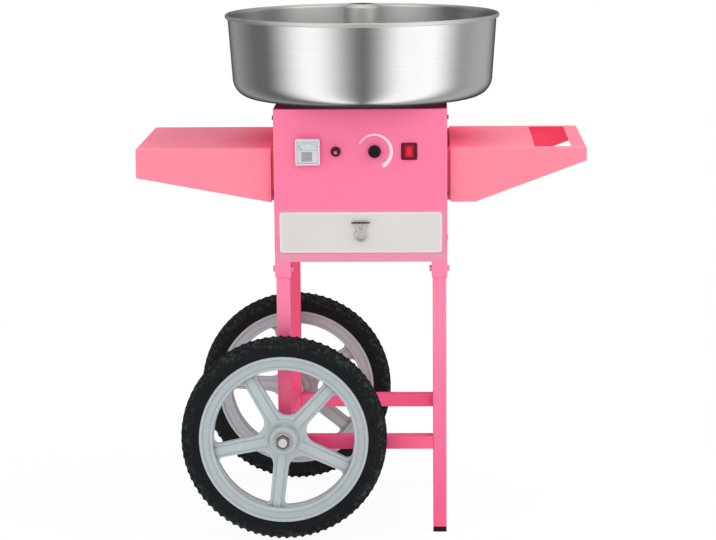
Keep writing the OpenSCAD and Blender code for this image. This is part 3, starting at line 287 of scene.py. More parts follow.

# %% [markdown]
# No real surface is one flat colour. Three patterns make most finishes here: a tone that drifts in
# clouds and may turn to a second colour at some place, a deeper colour in hollows, which is painted
# shade and bounce light, and a fine grain that bends the light. Hollows could be painted by hand; an
# occlusion node measures instead how closed in each place is, so it also works when a piece moves.

# %% Patterns that finishes share
def toned(tree, where, colour, size, drift, detail, tint=None, tinted=None):
    """A colour that drifts in clouds of size millimetres, from drift times itself to itself, and turns
    to the colour tinted where the function tint says so. Also gives the clouds, from 0 to 1."""
    cloud = add(tree, "TexNoise", {"Vector": where["Object"], "Scale": per_mm(size), "Detail": detail})["Fac"]
    share = add(tree, "MapRange", {"Value": cloud, "From Min": 0.3, "From Max": 0.7})[0]
    shade = add(tree, "Mix", {0: share, 6: linear(colour, drift), 7: linear(colour)}, data_type="RGBA")[2]
    if tint:
        there = tint(tree, add(tree, "SeparateXYZ", {0: where["Object"]}))
        shade = add(tree, "Mix", {0: there, 6: shade, 7: linear(tinted)}, data_type="RGBA")[2]
    return shade, share


# Painted shade and bounce light: a colour turned deeper where an occlusion node finds a place closed in.
def hollowed(tree, shade, deep, reach, shut, free, most=1.0):
    """Turns a colour towards deep where surfaces within reach metres close a place in. The occlusion
    node gives the share of the view that is free: at shut or less the turn is most, from free on none."""
    view = add(tree, "AmbientOcclusion", {"Distance": reach}, samples=6)["AO"]
    closed = add(tree, "MapRange", {"Value": view, "From Min": shut, "From Max": free,
                                    "To Min": most, "To Max": 0.0})[0]
    return add(tree, "Mix", {0: closed, 6: shade, 7: deep}, data_type="RGBA")[2]


def grained(tree, shader, where, size, detail, strength, depth):
    """Bends the light by a grain of size millimetres that is depth metres deep, and gives that grain."""
    grain = add(tree, "TexNoise", {"Vector": where["Object"], "Scale": per_mm(size), "Detail": detail})["Fac"]
    bent = add(tree, "Bump", {"Strength": strength, "Distance": depth, "Height": grain})[0]
    tree.links.new(bent, shader["Normal"])
    return grain


print("grains in a metre at 2.4 mm:", round(per_mm(2.4)))

# %% [markdown]
# The cart's own colour is a baked powder coat: a pink gloss paint that is sprayed on as dust and
# melted. It flows out almost flat and keeps a faint orange-peel ripple, and its tone drifts a
# little over a hand's breadth. In hollows less light gets in, and what does has bounced from pink to
# pink, so the colour is painted deeper there, as painted shade and bounce light. All paints share one
# recipe, and differ in their colours and places.

# %% Paint recipe
def paint(name, colour, deep=None, tint=None, tinted=None, rough=0.42, peel_mm=2.4, peel=0.10):
    """Sprayed paint: tone drifts over 90 mm, gloss over 35 mm, and a ripple of peel_mm bends light."""
    made, tree, shader, where = finish(name, IOR=1.5, Specular_IOR_Level=0.2)
    shade, _ = toned(tree, where, colour, size=90, drift=0.96, detail=3.0, tint=tint, tinted=tinted)
    # Hollows get the deep colour as painted shade and bounce light.
    if deep:
        shade = hollowed(tree, shade, linear(deep), reach=0.12, shut=0.15, free=0.85)
    tree.links.new(shade, shader["Base Color"])
    gloss = add(tree, "TexNoise", {"Vector": where["Object"], "Scale": per_mm(35)})["Fac"]
    gloss = add(tree, "MapRange", {"Value": gloss, "From Min": 0.3, "From Max": 0.7,
                                   "To Min": rough - 0.05, "To Max": rough + 0.05})[0]
    tree.links.new(gloss, shader["Roughness"])
    grained(tree, shader, where, peel_mm, detail=1.0, strength=peel, depth=0.0004)
    return made


# Even, strong pink with a soft sheen, painted redder in folds and corners as shade and bounce light.
pink_paint = paint("pink powder coat", "#FD7DA4", "#FA4A7C")
# Paler than the cart's pink: painted light, so that narrow faces in the shaded gap beside the body look lit.
bracket_paint = paint("pink powder coat, painted lighter", "#FFA6BC", "#F090A8", rough=0.5)
# Pale metal with a pink cast, because spray dust veils the zinc.
bolt_paint = paint("zinc plate under pink overspray", "#E2C0CB", "#B98E9B", rough=0.5)
# A deeper, flatter copy of the cart's pink: painted shade for the tubes that stand in the shade.
rail_paint = paint("pink powder coat, shaded deeper", "#F9638F", "#F2467A")
# A darker copy of the pink at the deck's border, and wine red further in: painted shade, where hardly any light gets
# under the bowl.
deck_paint = paint("pink powder coat under the bowl", "#EE6A94", "#7A1030")
# Nearly black, with a coarse peel that breaks up its shine.
motor_paint = paint("dark motor enamel", "#22242A", rough=0.45, peel_mm=1.2, peel=0.30)
print("paints:", pink_paint.name, "and five more")

# %% [markdown]
# Some paint changes with its place: it is painted redder on a shelf's inner wall, as bounce light,
# painted deeper towards the floor, as shade, and missing on the axle's ends. Vertex colours could carry
# that, but most of these pieces keep their solid, so a function of the place in the cart's own metres
# says where the second colour goes.

# %% Paint that changes along a piece
# Where the legs' paint is painted deeper as shade: towards the floor.
def low_down(tree, at):
    """1 at the floor, 0 from 0.42 m up."""
    return add(tree, "MapRange", {"Value": at["Z"], "From Min": 0.06, "From Max": 0.42,
                                  "To Min": 1.0, "To Max": 0.0})[0]


# Where the shelves' paint is painted redder as bounce light: the inside of a back wall.
def inside_back(tree, at):
    """1 on faces that look forward from the cart's rear half: the inside of a shelf's back wall."""
    facing = add(tree, "SeparateXYZ", {0: add(tree, "TexCoord")["Normal"]})["Y"]
    facing = add(tree, "Math", {0: facing, 1: -0.5}, operation="LESS_THAN")[0]
    rear = add(tree, "Math", {0: at["Y"], 1: 0.05}, operation="GREATER_THAN")[0]
    return add(tree, "Math", {0: facing, 1: rear}, operation="MULTIPLY")[0]


def bare_ends(tree, at):
    """1 on the axle's ends, from the inner washers outwards."""
    far_out = add(tree, "Math", {0: at["Y"]}, operation="ABSOLUTE")[0]
    return add(tree, "MapRange", {"Value": far_out, "From Min": 0.178, "From Max": 0.179})[0]


# Lightest at the top, and painted a fuller pink towards the floor as shade.
leg_paint = paint("pink powder coat on tube", "#FC86AA", "#FF4F83", low_down, "#F0648F")
# A warmer pink, with inner walls painted red as light that bounced twice.
shelf_paint = paint("salmon pink powder coat", "#FC8A9F", "#FF5478", inside_back, "#FF4A6E")
# The rails' shaded pink between the wheels, and a light grey where the axle is bare.
axle_paint = paint("pink powder coat with bare ends", "#F9638F", None, bare_ends, "#C9C7C4")
print("paints that change along a piece:", leg_paint.name, shelf_paint.name, axle_paint.name, sep="; ")

# %% [markdown]
# The drawer's pale front sits in a pink frame. The frame is painted greyer close to the opening, as
# shade in the seam, and the front is painted pinker at its edges, as pink light from the frame, which
# draws a soft double line round it. A thin strip of geometry could draw that line, but it has no sharp
# edge. So it fades with the distance past the drawer's rectangle, which is the larger of the distances
# past a side and past the top or bottom. A dark line of painted shade runs along the pull's hinge in
# the same way.

# %% Paint round the drawer and its hinge
drawer_mm, pin_mm = 567.5, 586.5  # heights of the drawer's middle and of the pull's hinge pin


def past_drawer(tree, at, edge_x, edge_z):
    """Metres past a rectangle round the drawer's middle, on its nearer side; less than 0 inside it."""
    x = add(tree, "Math", {0: at["X"]}, operation="ABSOLUTE")[0]
    z = add(tree, "Math", {0: at["Z"], 1: drawer_mm / 1000}, operation="SUBTRACT")[0]
    z = add(tree, "Math", {0: z}, operation="ABSOLUTE")[0]
    x = add(tree, "Math", {0: x, 1: edge_x}, operation="SUBTRACT")[0]
    z = add(tree, "Math", {0: z, 1: edge_z}, operation="SUBTRACT")[0]
    return add(tree, "Math", {0: x, 1: z}, operation="MAXIMUM")[0]


# The housing is painted greyer as shade in the seam round the drawer, and greyer on the strip under it.
def drawer_seam(tree, at):
    """Fades out over 4.5 mm round the drawer's opening, and is 0.75 on the strip under it; front only."""
    near = add(tree, "MapRange", {"Value": past_drawer(tree, at, 0.1495, 0.0385), "From Max": 0.0045,
                                  "To Min": 0.9, "To Max": 0.0})[0]
    strip = add(tree, "MapRange", {"Value": at["Z"], "From Min": 0.527, "From Max": 0.531,
                                   "To Min": 0.75, "To Max": 0.0})[0]
    both = add(tree, "Math", {0: near, 1: strip}, operation="MAXIMUM")[0]
    front = add(tree, "MapRange", {"Value": at["Y"], "From Min": -0.178, "From Max": -0.172,
                                   "To Min": 1.0, "To Max": 0.0})[0]
    return add(tree, "Math", {0: both, 1: front}, operation="MULTIPLY")[0]


# The drawer front is painted pinker at its edges, as pink light from the frame.
def drawer_rim(tree, at):
    """Rises to 0.8 over the last 6 mm towards the drawer front's edges."""
    return add(tree, "MapRange", {"Value": past_drawer(tree, at, 0.1485, 0.0375), "From Min": -0.006,
                                  "From Max": -0.001, "To Min": 0.0, "To Max": 0.8})[0]


# A dark line of painted shade along the pull's hinge.
def hinge(tree, at):
    """1 along the middle of the hinge's curl: within 1.5 mm of its pin's height, in front of the drawer."""
    front = add(tree, "MapRange", {"Value": at["Y"], "From Min": -0.1832, "From Max": -0.1828,
                                   "To Min": 1.0, "To Max": 0.0})[0]
    level = band(tree, at["Z"], pin_mm / 1000, 0.0012, 0.0022)
    return add(tree, "Math", {0: front, 1: level}, operation="MULTIPLY")[0]


# The cart's pink, with a greyer line of painted shade round the drawer.
housing_paint = paint("pink powder coat, shaded at the seam", "#FD7DA4", "#FA4A7C", drawer_seam, "#DF98B0")
# Warm off-white with a satin sheen, painted faintly pink at its edges as light from the frame.
pale_paint = paint("pale satin enamel", "#D9D6D2", None, drawer_rim, "#F0D6D9",
                   rough=0.40, peel_mm=2.0, peel=0.08)
# The same off-white, with a dark line of painted shade along the hinge.
plate_paint = paint("pale enamel, shaded along the hinge", "#D9D6D2", None, hinge, "#4A4544",
                    rough=0.40, peel_mm=2.0, peel=0.08)
print("paints round the drawer:", housing_paint.name, pale_paint.name, plate_paint.name, sep="; ")

# %% [markdown]
# The bowl is spun from stainless sheet and brushed while it turns, so its fine lines run round it,
# and a reflection is drawn out across them. A wave texture could draw rings; stretched noise looks
# less regular. It follows the piece's own UV map: u runs round and v along the profile, both in
# metres. The same v also says where the lower corner, the wire lip and the inside are.

# %% Brushed steel
corner_v, lip_v, inside_v = 0.1485, 0.3227, 0.3327  # metres along the bowl's profile


def brushed_steel(name, colour, rough, line_mm):
    """Turned and brushed: long streaks round the axis, each a little duller or brighter. The lower
    corner has a dark ring, a painted reflection of the shade under the bowl, the lip is dull, and the
    inside is as the spinning tool leaves it."""
    made, tree, shader, where = finish(name, Metallic=1.0, Anisotropic=0.6, Anisotropic_Rotation=0.25)
    stretch = add(tree, "VectorMath", {0: where["UV"], 1: (6.0, per_mm(line_mm), 0)}, operation="MULTIPLY")[0]
    streak = add(tree, "TexNoise", {"Vector": stretch, "Scale": 1.0, "Detail": 3.0}, noise_dimensions="2D")["Fac"]
    share = add(tree, "MapRange", {"Value": streak, "From Min": 0.3, "From Max": 0.7})[0]
    along = add(tree, "SeparateXYZ", {0: where["UV"]})["Y"]
    # A dark ring of painted reflection along the lower corner, for the shade under the bowl that it mirrors.
    ring = band(tree, along, corner_v, 0.005, 0.014, 0.6)
    lip = band(tree, along, lip_v, 0.009, 0.0105)
    within = add(tree, "MapRange", {"Value": along, "From Min": inside_v, "From Max": inside_v + 0.0028})[0]
    shade = add(tree, "Mix", {0: share, 6: linear(colour, 0.975), 7: linear(colour, 1.01)}, data_type="RGBA")[2]
    shade = add(tree, "Mix", {0: ring, 6: shade, 7: linear("#4A4344")}, data_type="RGBA")[2]
    shade = add(tree, "Mix", {0: within, 6: shade, 7: linear("#BFBEBA")}, data_type="RGBA")[2]
    tree.links.new(shade, shader["Base Color"])
    gloss = add(tree, "MapRange", {"Value": share, "To Min": rough - 0.008, "To Max": rough + 0.012})[0]
    gloss = add(tree, "Mix", {0: lip, 2: gloss, 3: 0.55})[0]
    gloss = add(tree, "Mix", {0: within, 2: gloss, 3: 0.28})[0]
    tree.links.new(gloss, shader["Roughness"])
    scratch = add(tree, "Bump", {"Strength": 0.006, "Distance": 0.0002, "Height": streak})[0]
    tree.links.new(scratch, shader["Normal"])
    tree.links.new(add(tree, "Tangent", direction_type="UV_MAP", uv_map="along")[0], shader["Tangent"])
    return made


# Bright silver with soft upright bands of light and dark, and a duller, warmer inside.
# Real brushing is about 0.2 mm apart; it is drawn 3 mm apart, so that it shows from this far.
spun_steel = brushed_steel("spun stainless steel", "#DDDDDE", rough=0.19, line_mm=3.0)
print("brushed:", spun_steel.name)

# %% [markdown]
# The other metals were rolled, plated or cast, and have no direction. What tells them apart is their
# tint, how blurred they mirror, and how cloudy that blur is. So they share one recipe: a cloudy tone
# whose bright parts are also the smoother ones, and a pitted grain too fine to see one by one.

# %% Other metals
def plain_metal(name, colour, rough, cloud_mm, worn=0.85, tint=None, tinted=None):
    """Rolled, plated or cast: a cloudy tone and gloss of cloud_mm, with a fine pitted grain."""
    made, tree, shader, where = finish(name, Metallic=1.0)
    shade, share = toned(tree, where, colour, cloud_mm, drift=worn, detail=4.0, tint=tint, tinted=tinted)
    tree.links.new(shade, shader["Base Color"])
    gloss = add(tree, "MapRange", {"Value": share, "To Min": rough + 0.07, "To Max": rough - 0.05})[0]
    tree.links.new(gloss, shader["Roughness"])
    # Real pits are some hundredths of a millimetre wide; they are drawn 0.8 mm wide.
    grained(tree, shader, where, size=0.8, detail=1.0, strength=0.08, depth=0.0001)
    return made


# Where the pull's ring is painted dark as shade: along the middle of its sleeve, and towards its foot.
def sleeve_and_foot(tree, at):
    """1 along the middle of the pull's sleeve, and up to 0.45 towards the foot of its ring."""
    foot = add(tree, "MapRange", {"Value": at["Z"], "From Min": 0.552, "From Max": 0.562,
                                  "To Min": 0.45, "To Max": 0.0})[0]
    return add(tree, "Math", {0: hinge(tree, at), 1: foot}, operation="MAXIMUM")[0]


# The numbers are the roughness, the clouds' size in millimetres and the tone's darkest share.
# Clear silver, blurred a little, in broad clouds.
sheet_steel = plain_metal("rolled stainless sheet", "#CFCFCE", 0.30, 14)
# A soft, nearly white grey without a clear reflection.
satin_metal = plain_metal("satin aluminium", "#DEDCD7", 0.55, 20, 0.95)
# Warm pale grey, painted dark as shade along the hinge's sleeve and towards the ring's foot.
nickel_with_painted_shade = plain_metal("satin nickel, shaded at hinge and foot", "#DEDBD7", 0.6, 5, 0.95, sleeve_and_foot, "#5A5654")
# Flat light grey with hardly any shine.
zinc_plate = plain_metal("dull zinc plate", "#DCD6D9", 0.75, 5)
# Dark grey, so that the facets stand out from the washer behind them.
black_zinc = plain_metal("black zinc plate", "#8B898E", 0.5, 4, 0.8)
# Almost black, with a hard small shine; on the pull's pin this dark also stands for the shade in the hinge.
dark_steel = plain_metal("blackened steel", "#5A5654", 0.38, 4, 0.7)
# Bright grey with a clear shine.
bare_steel = plain_metal("turned steel", "#BDBFC0", 0.28, 6)
# Reddish brown, brighter where the brushes run.
copper = plain_metal("worn copper", "#C98555", 0.35, 4, 0.7)
print("metals:", [m.name for m in (sheet_steel, satin_metal, nickel_with_painted_shade, zinc_plate, black_zinc, copper)])

# %% [markdown]
# Plastics, rubber and ceramic are not metal: their colour is inside them, and a thin clear shine
# lies on top. A moulded face copies its mould, which is spark-eroded to a fine grain, so each gets
# a tone that drifts a little, a grain of its own size and a gloss of its own. A scanned texture
# would show the same grain, but it would not keep its size on pieces of every size.

# %% Moulded finishes
def moulded(name, colour, rough, grain_mm, grain, drift=0.9, corner_shade=0.0, tint=None, tinted=None, **numbers):
    """Moulded: tone drifts over 18 mm, a grain of grain_mm roughens the skin, and painted shade darkens
    corners that are closed in within 10 mm."""
    made, tree, shader, where = finish(name, **numbers)
    shade, _ = toned(tree, where, colour, size=18, drift=drift, detail=3.0, tint=tint, tinted=tinted)
    # Corners closed in within 10 mm get painted shade.
    if corner_shade:
        shade = hollowed(tree, shade, linear(colour, 0.35), reach=0.01, shut=0.4, free=0.95, most=corner_shade)
    tree.links.new(shade, shader["Base Color"])
    # A real mould's grain is about 0.1 mm; it is drawn at 0.4 to 1 mm, so that it shows.
    skin = grained(tree, shader, where, grain_mm, detail=2.0, strength=grain, depth=0.0002)
    gloss = add(tree, "MapRange", {"Value": skin, "From Min": 0.3, "From Max": 0.7,
                                   "To Min": rough - 0.05, "To Max": rough + 0.05})[0]
    tree.links.new(gloss, shader["Roughness"])
    return made


# The numbers are the roughness, the grain's size in millimetres, its strength and the tone's darkest share.
# Cool light grey with soft shine, with painted shade in the corners of spokes and ribs.
wheel_plastic = moulded("grey moulded polypropylene", "#B4BEC2", 0.42, 1.0, 0.15, 0.95, corner_shade=0.7, IOR=1.49)
# Deep black that only shines at its edges.
soft_rubber = moulded("black soft rubber", "#1B1617", 0.62, 0.8, 0.4, 0.8, IOR=1.52)
# Black with a small soft shine.
black_plastic = moulded("black moulded ABS", "#121014", 0.45, 0.6, 0.2, 0.85, IOR=1.53, Specular_IOR_Level=0.2)
# Black at first sight, dark red where light falls on it.
dark_red_plastic = moulded("dark red phenolic", "#3E0E1C", 0.4, 0.6, 0.1, 0.85, IOR=1.55, Specular_IOR_Level=0.3)
foot_plastic = moulded("maroon black polyethylene", "#24060E", 0.55, 0.8, 0.2, 0.85, IOR=1.5,
                       Specular_IOR_Level=0.15)
# A wine red frame, duller than the key in it.
frame_plastic = moulded("dark red moulded ABS", "#5C1022", 0.42, 0.6, 0.1, 0.9, IOR=1.53, Specular_IOR_Level=0.2)
# Nearly white and slightly violet, with a clean shine.
pale_plastic = moulded("pale moulded ABS", "#E4DFE8", 0.30, 0.7, 0.08, 0.96, IOR=1.53)
# Middle grey, to set the works' cover off against the pale meter.
grey_plastic = moulded("grey moulded ABS", "#8F8A90", 0.34, 0.7, 0.1, 0.95, IOR=1.53)
# Bluish white card without shine, and the greys and pinks that are printed on card and panel.
dial_card = moulded("printed dial card", "#D3DBE4", 0.55, 0.4, 0.05, 0.97, IOR=1.5)
scale_ink = moulded("grey scale ink", "#7C8088", 0.5, 0.4, 0.05, 0.9, IOR=1.5)
white_ink = moulded("pale panel ink", "#FCDDE7", 0.45, 0.5, 0.06, 0.96, IOR=1.5)
# A pink bead that shines like glass.
lens_plastic = moulded("pink translucent lens", "#D9708E", 0.25, 0.7, 0.03, 0.95, IOR=1.58)
# Chalky off-white, and a milky one with more shine.
ceramic = moulded("unglazed ceramic", "#D6D0C4", 0.8, 0.5, 0.4, 0.92, IOR=1.55)
nylon = moulded("natural nylon", "#DAD8D0", 0.45, 0.6, 0.1, 0.95, IOR=1.53)
# Only seen as a faint shine over the dial.
clear_plastic = moulded("clear acrylic", "#F6FAFC", 0.08, 6.0, 0.01, 0.99, IOR=1.49, Alpha=0.1)
print("materials so far:", len(bpy.data.materials))

# %% [markdown]
# A tyre that has rolled is black on its side walls and dusty on its tread. Dust could be a second
# shader on top; it is nearly as matt as rubber, so here it is only a greyer colour in spots, from a
# certain distance from the axle outwards.

# %% Dusty rubber
axle_x, axle_z = -143.5, 190  # the axle's line, in millimetres


def dusty_lugs(tree, at):
    """Grey, dusty spots from the road of about 8 mm, only on the tread: past 168 mm from the axle's line."""
    x = add(tree, "Math", {0: at["X"], 1: axle_x / 1000}, operation="SUBTRACT")[0]
    z = add(tree, "Math", {0: at["Z"], 1: axle_z / 1000}, operation="SUBTRACT")[0]
    spoke = add(tree, "CombineXYZ", {"X": x, "Z": z})[0]
    r = add(tree, "VectorMath", {0: spoke}, operation="LENGTH")["Value"]
    tread = add(tree, "MapRange", {"Value": r, "From Min": 0.168, "From Max": 0.182})[0]
    place = add(tree, "TexCoord")["Object"]
    spots = add(tree, "TexNoise", {"Vector": place, "Scale": per_mm(8), "Detail": 2.0})["Fac"]
    spots = add(tree, "MapRange", {"Value": spots, "From Min": 0.5, "From Max": 0.75, "To Max": 0.7})[0]
    return add(tree, "Math", {0: tread, 1: spots}, operation="MULTIPLY")[0]


# Matt black, with a tread that is mottled grey.
tyre_rubber = moulded("black tyre rubber", "#181C1D", 0.75, 0.9, 0.5, 0.75, tint=dusty_lugs, tinted="#474B4A",
                      IOR=1.52, Specular_IOR_Level=0.1)
print("dusty:", tyre_rubber.name)

# %% [markdown]
# The switch's key is red clear plastic. Its colour is painted lighter in the middle of its face and
# darker towards its edges, as light through the clear red would show it, and slightly mottled. It
# could be real red glass over a white core; from this far a red of two tones looks the same, and it
# renders without noise.

# %% Red key
key_x = float(np.mean([c[0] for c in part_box("switch_rocker")]))
key_z, key_half_x, key_half_z = 0.7165, 0.0052, 0.0085
# A clear signal red, with a heart painted brighter as light through the clear plastic.
red_plastic, tree, shader, where = finish("red translucent polycarbonate", IOR=1.58, Roughness=0.25,
                                          Specular_IOR_Level=0.3)
at = add(tree, "SeparateXYZ", {0: where["Object"]})
across = band(tree, at["X"], key_x, key_half_x - 0.0015, key_half_x + 0.0005)
upright = band(tree, at["Z"], key_z, key_half_z - 0.0015, key_half_z + 0.0005)
heart = add(tree, "Math", {0: across, 1: upright}, operation="MULTIPLY")[0]
speck = add(tree, "TexNoise", {"Vector": where["Object"], "Scale": per_mm(3)})["Fac"]
speck = add(tree, "MapRange", {"Value": speck, "To Min": 0.8, "To Max": 1.1})[0]
heart = add(tree, "Math", {0: heart, 1: speck}, operation="MULTIPLY")[0]
shade = add(tree, "Mix", {0: heart, 6: linear("#A8081E"), 7: linear("#EA1F40")}, data_type="RGBA")[2]
tree.links.new(shade, shader["Base Color"])
print("the key's middle is at x", round(key_x * 1000, 1), "mm")

# %% [markdown]
# Now the shapes. The Spin and Bevel tools could make most of them; whole arrays of points do the
# same in one step and need no loop over points. Every surface is a grid: rows and columns of points
# with a square between neighbours. Corners are filleted in the outline itself.

# %% Grids and rounded outlines
def grid(points, uv=None):
    """A grid of points as a surface: each square joins neighbours in the next row and column."""
    rows, columns = points.shape[:2]
    number = np.arange(rows * columns).reshape(rows, columns)
    squares = np.stack([number[:-1, :-1], number[1:, :-1], number[1:, 1:], number[:-1, 1:]], -1)
    if uv is None:
        uv = np.stack(np.meshgrid(np.linspace(0, 1, rows), np.linspace(0, 1, columns), indexing="ij"), -1)
    return points.reshape(-1, 3), squares.reshape(-1, 4), uv.reshape(-1, 2)


def rounded(corners, steps=5, closed=True):
    """An outline of corners (x, y, radius), each cut by an arc that touches both its sides: the arc
    starts radius / tan(half the corner's angle) from the corner, and blends from start to end."""
    p, r = np.split(np.asarray(corners, float), [2], axis=1)
    to_last, to_next = np.roll(p, 1, 0) - p, np.roll(p, -1, 0) - p
    to_last = to_last / np.linalg.norm(to_last, axis=1, keepdims=True)
    to_next = to_next / np.linalg.norm(to_next, axis=1, keepdims=True)
    half = np.arccos(np.clip((to_last * to_next).sum(1, keepdims=True), -0.999999, 0.999999)) / 2
    middle = to_last + to_next
    centre = p + middle / np.linalg.norm(middle, axis=1, keepdims=True) * r / np.sin(half)
    start = p + to_last * r / np.tan(half) - centre
    end = p + to_next * r / np.tan(half) - centre
    k, bend = np.linspace(0, 1, steps + 1)[None, :, None], (np.pi - 2 * half)[:, :, None]
    arcs = (np.sin((1 - k) * bend) * start[:, None] + np.sin(k * bend) * end[:, None]) / np.sin(bend)
    points = (arcs + centre[:, None]).reshape(-1, 2)
    return np.vstack([points, points[:1]]) if closed else points


square = rounded([(1, 1, 0.2), (-1, 1, 0.2), (-1, -1, 0.2), (1, -1, 0.2)])
print("a square with round corners has", len(square) - 1, "points")

# %% [markdown]
# Most pieces are one of two surfaces. A turned piece is a profile carried round an axis, as a lathe
# or a Screw modifier does it. A pressed or moulded plate is a rounded rectangle carried through
# steps of inset and height, as repeated insets would. Both are written once and used all over.

# %% Turned and pressed surfaces
origin = (0, 0, 0)
# For each way that a piece can face: the directions across it, to its other side, and along its axis.
WAYS = {"up": np.eye(3), "front": np.array([[1, 0, 0], [0, 0, 1], [0, -1, 0]]),
        "back": np.array([[1, 0, 0], [0, 0, 1], [0, 1, 0]])}


def turned(profile, centre, way, steps=96, shape=None):
    """A profile (radius, height) carried round an axis: at angle a a point is the centre, plus
    radius times (cos a, sin a) across the axis, plus height along it. shape may change the radius."""
    profile = np.asarray(profile, float)
    a, (r, h) = np.linspace(0, 2 * np.pi, steps + 1)[:, None], profile.T
    radius = np.broadcast_to(r, (steps + 1, len(r))) if shape is None else shape(a, r[None], h[None])
    across, side, along = WAYS[way]
    points = (np.asarray(centre, float) + (radius * np.cos(a))[..., None] * across
              + (radius * np.sin(a))[..., None] * side + np.broadcast_to(h, radius.shape)[..., None] * along)
    length = np.concatenate([[0], np.cumsum(np.linalg.norm(np.diff(profile, axis=0), axis=1))])
    uv = np.stack(np.broadcast_arrays(a * r.max() / 1000, length[None] / 1000), -1)
    return grid(points, uv)


def pressed(width, height, corner, steps, centre, way="front"):
    """A rounded rectangle carried through steps (inset, height): each loop is the outline drawn in
    by its inset, and the first and last loops run together to close the piece."""
    inset, rise_by = np.asarray(steps, float).T
    turn = np.append(np.repeat(np.arange(4), 9), 0)
    angle = np.radians(np.linspace(0, 90, 9)[None] + 90 * np.arange(4)[:, None]).reshape(-1)
    angle = np.append(angle, 0)
    r = np.maximum(corner - inset, 0.05)[:, None]
    x = np.array([1, -1, -1, 1])[turn] * (width / 2 - inset[:, None] - r) + r * np.cos(angle)
    y = np.array([1, 1, -1, -1])[turn] * (height / 2 - inset[:, None] - r) + r * np.sin(angle)
    across, side, along = WAYS[way]
    points = (np.asarray(centre, float) + x[..., None] * across + y[..., None] * side
              + np.broadcast_to(rise_by[:, None], x.shape)[..., None] * along)
    ends = np.broadcast_to(points[[0, -1]][:, :-1].mean(1, keepdims=True), points[[0, -1]].shape)
    return grid(np.concatenate([ends[:1], points, ends[1:]]))


print("ways that a piece can face:", list(WAYS))

# %% [markdown]
# One function turns surfaces into a finished object. It welds the seam where a turned surface meets
# itself, turns the faces outwards and shades them smooth up to an angle. Then it parents the piece to
# the moving body that it rides on, and hides the solids that it stands for. It also counts open
# edges, because a piece without any is a closed skin that can be printed.

# %% Making a piece
def piece(name, body, material, surfaces, stands_for=(), crease=38):
    """Makes one object of closed surfaces in millimetres: welds seams and poles, turns faces outwards,
    shades it smooth up to the crease angle, parents it to the body it rides on and hides what it stands for."""
    first = np.cumsum([0] + [len(s[0]) for s in surfaces[:-1]])
    points = np.vstack([s[0] for s in surfaces]) / 1000
    squares = np.vstack([s[1] + n for s, n in zip(surfaces, first)])
    mesh = bpy.data.meshes.new(name)
    mesh.from_pydata(points.tolist(), [], squares.tolist())
    uv = np.vstack([s[2] for s in surfaces])[squares.ravel()]
    mesh.uv_layers.new(name="along").data.foreach_set("uv", uv.ravel())
    form = bmesh.new()
    form.from_mesh(mesh)
    bmesh.ops.remove_doubles(form, verts=form.verts, dist=1e-6)
    bmesh.ops.recalc_face_normals(form, faces=form.faces)
    form.to_mesh(mesh)
    form.free()
    edge_of = np.empty(len(mesh.loops), np.int32)
    mesh.loops.foreach_get("edge_index", edge_of)
    open_edges = int((np.bincount(edge_of, minlength=len(mesh.edges)) != 2).sum())
    mesh.shade_smooth()
    mesh.set_sharp_from_angle(angle=np.radians(crease))
    mesh.materials.append(material)
    made = bpy.data.objects.new(name, mesh)
    scene.collection.objects.link(made)
    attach(made, body)
    if stands_for:
        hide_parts(*stands_for)
    print(name, "faces", len(mesh.polygons), "open edges", open_edges)


# %% [markdown]
# The bowl is one sheet of steel, spun into a wide dish with a collar round the hole for the head
# and a wire rolled into its lip. A Solidify modifier could thicken one line; here the profile goes
# up the outside, round the wire and down the inside, one millimetre apart, because the lip is a
# round wire and not a cut edge. It is turned round the upright axis.

# %% Bowl
def arc(x, y, r, start, end, steps):
    """Points of an arc about (x, y), from one angle to another in degrees."""
    a = np.radians(np.linspace(start, end, steps + 1))
    return np.column_stack([x + r * np.cos(a), y + r * np.sin(a)])


def rise(start, end, steps):
    """Points of a straight line in even steps, both ends included."""
    return np.linspace(start, end, steps + 1)


outside = np.vstack([rise((84, 823), (84, 806), 4), arc(90, 806, 6, 180, 270, 6), rise((92, 800), (206, 800), 8),
                     arc(208, 836, 36, -90, -4, 24), rise((244.3, 840), (251.6, 945), 20)])
wire = (arc(0, 0, 1, -140, 170, 26) * (3, 4)) + (254, 950.5)
inside = np.vstack([rise((250.7, 946), (243.3, 840), 20), arc(208, 836, 35, -4, -90, 24),
                    rise((206, 801), (92, 801), 8), arc(91, 807, 6, 270, 180, 6), rise((85, 807), (85, 823), 4),
                    arc(84.5, 823.4, 0.5, 0, 180, 4)])
bowl_profile = np.vstack([outside, wire, inside, outside[:1]])
piece("spun_bowl", "bowl", spun_steel, [turned(bowl_profile, origin, "up", 256)], ["bowl"], 50)

# %% [markdown]
# In the middle of the bowl sits the spinning head: a dish, a slotted band and a cone with the
# sugar cup on top. The cup's rim is spun inwards to a round mouth. Cone and cup could be two pieces,
# but they are one turned sheet, so they are one profile with filleted corners.

# %% Spinning head's cover
cover = rounded([(59, 886, 0), (62, 886, 0.6), (62, 888.5, 1.5), (34.6, 906, 4), (34.6, 966, 3), (24, 971.5, 0.7),
                 (23, 971.5, 0.7), (23, 970, 0.5), (33.1, 965, 2), (33.1, 906.6, 3), (59, 887.6, 0)], 6)
piece("sugar_cup_cover", "spinner", satin_metal, [turned(cover, origin, "up", 128)],
      ["spinner_cover"], 50)

# %% [markdown]
# Each wheel has a black tyre with a row of lugs on both sides of a middle groove, which show as a
# toothed edge against the floor. An Array of one lug round a ring would do; here the tyre is a turned
# profile whose radius is cut back between the lugs. The cut is a square wave round the wheel,
# softened so that each lug has slanted sides, and it fades out on the side wall.

# %% Tyres
wheel_y, lug_count, lug_mm = 212, 80, 3.4


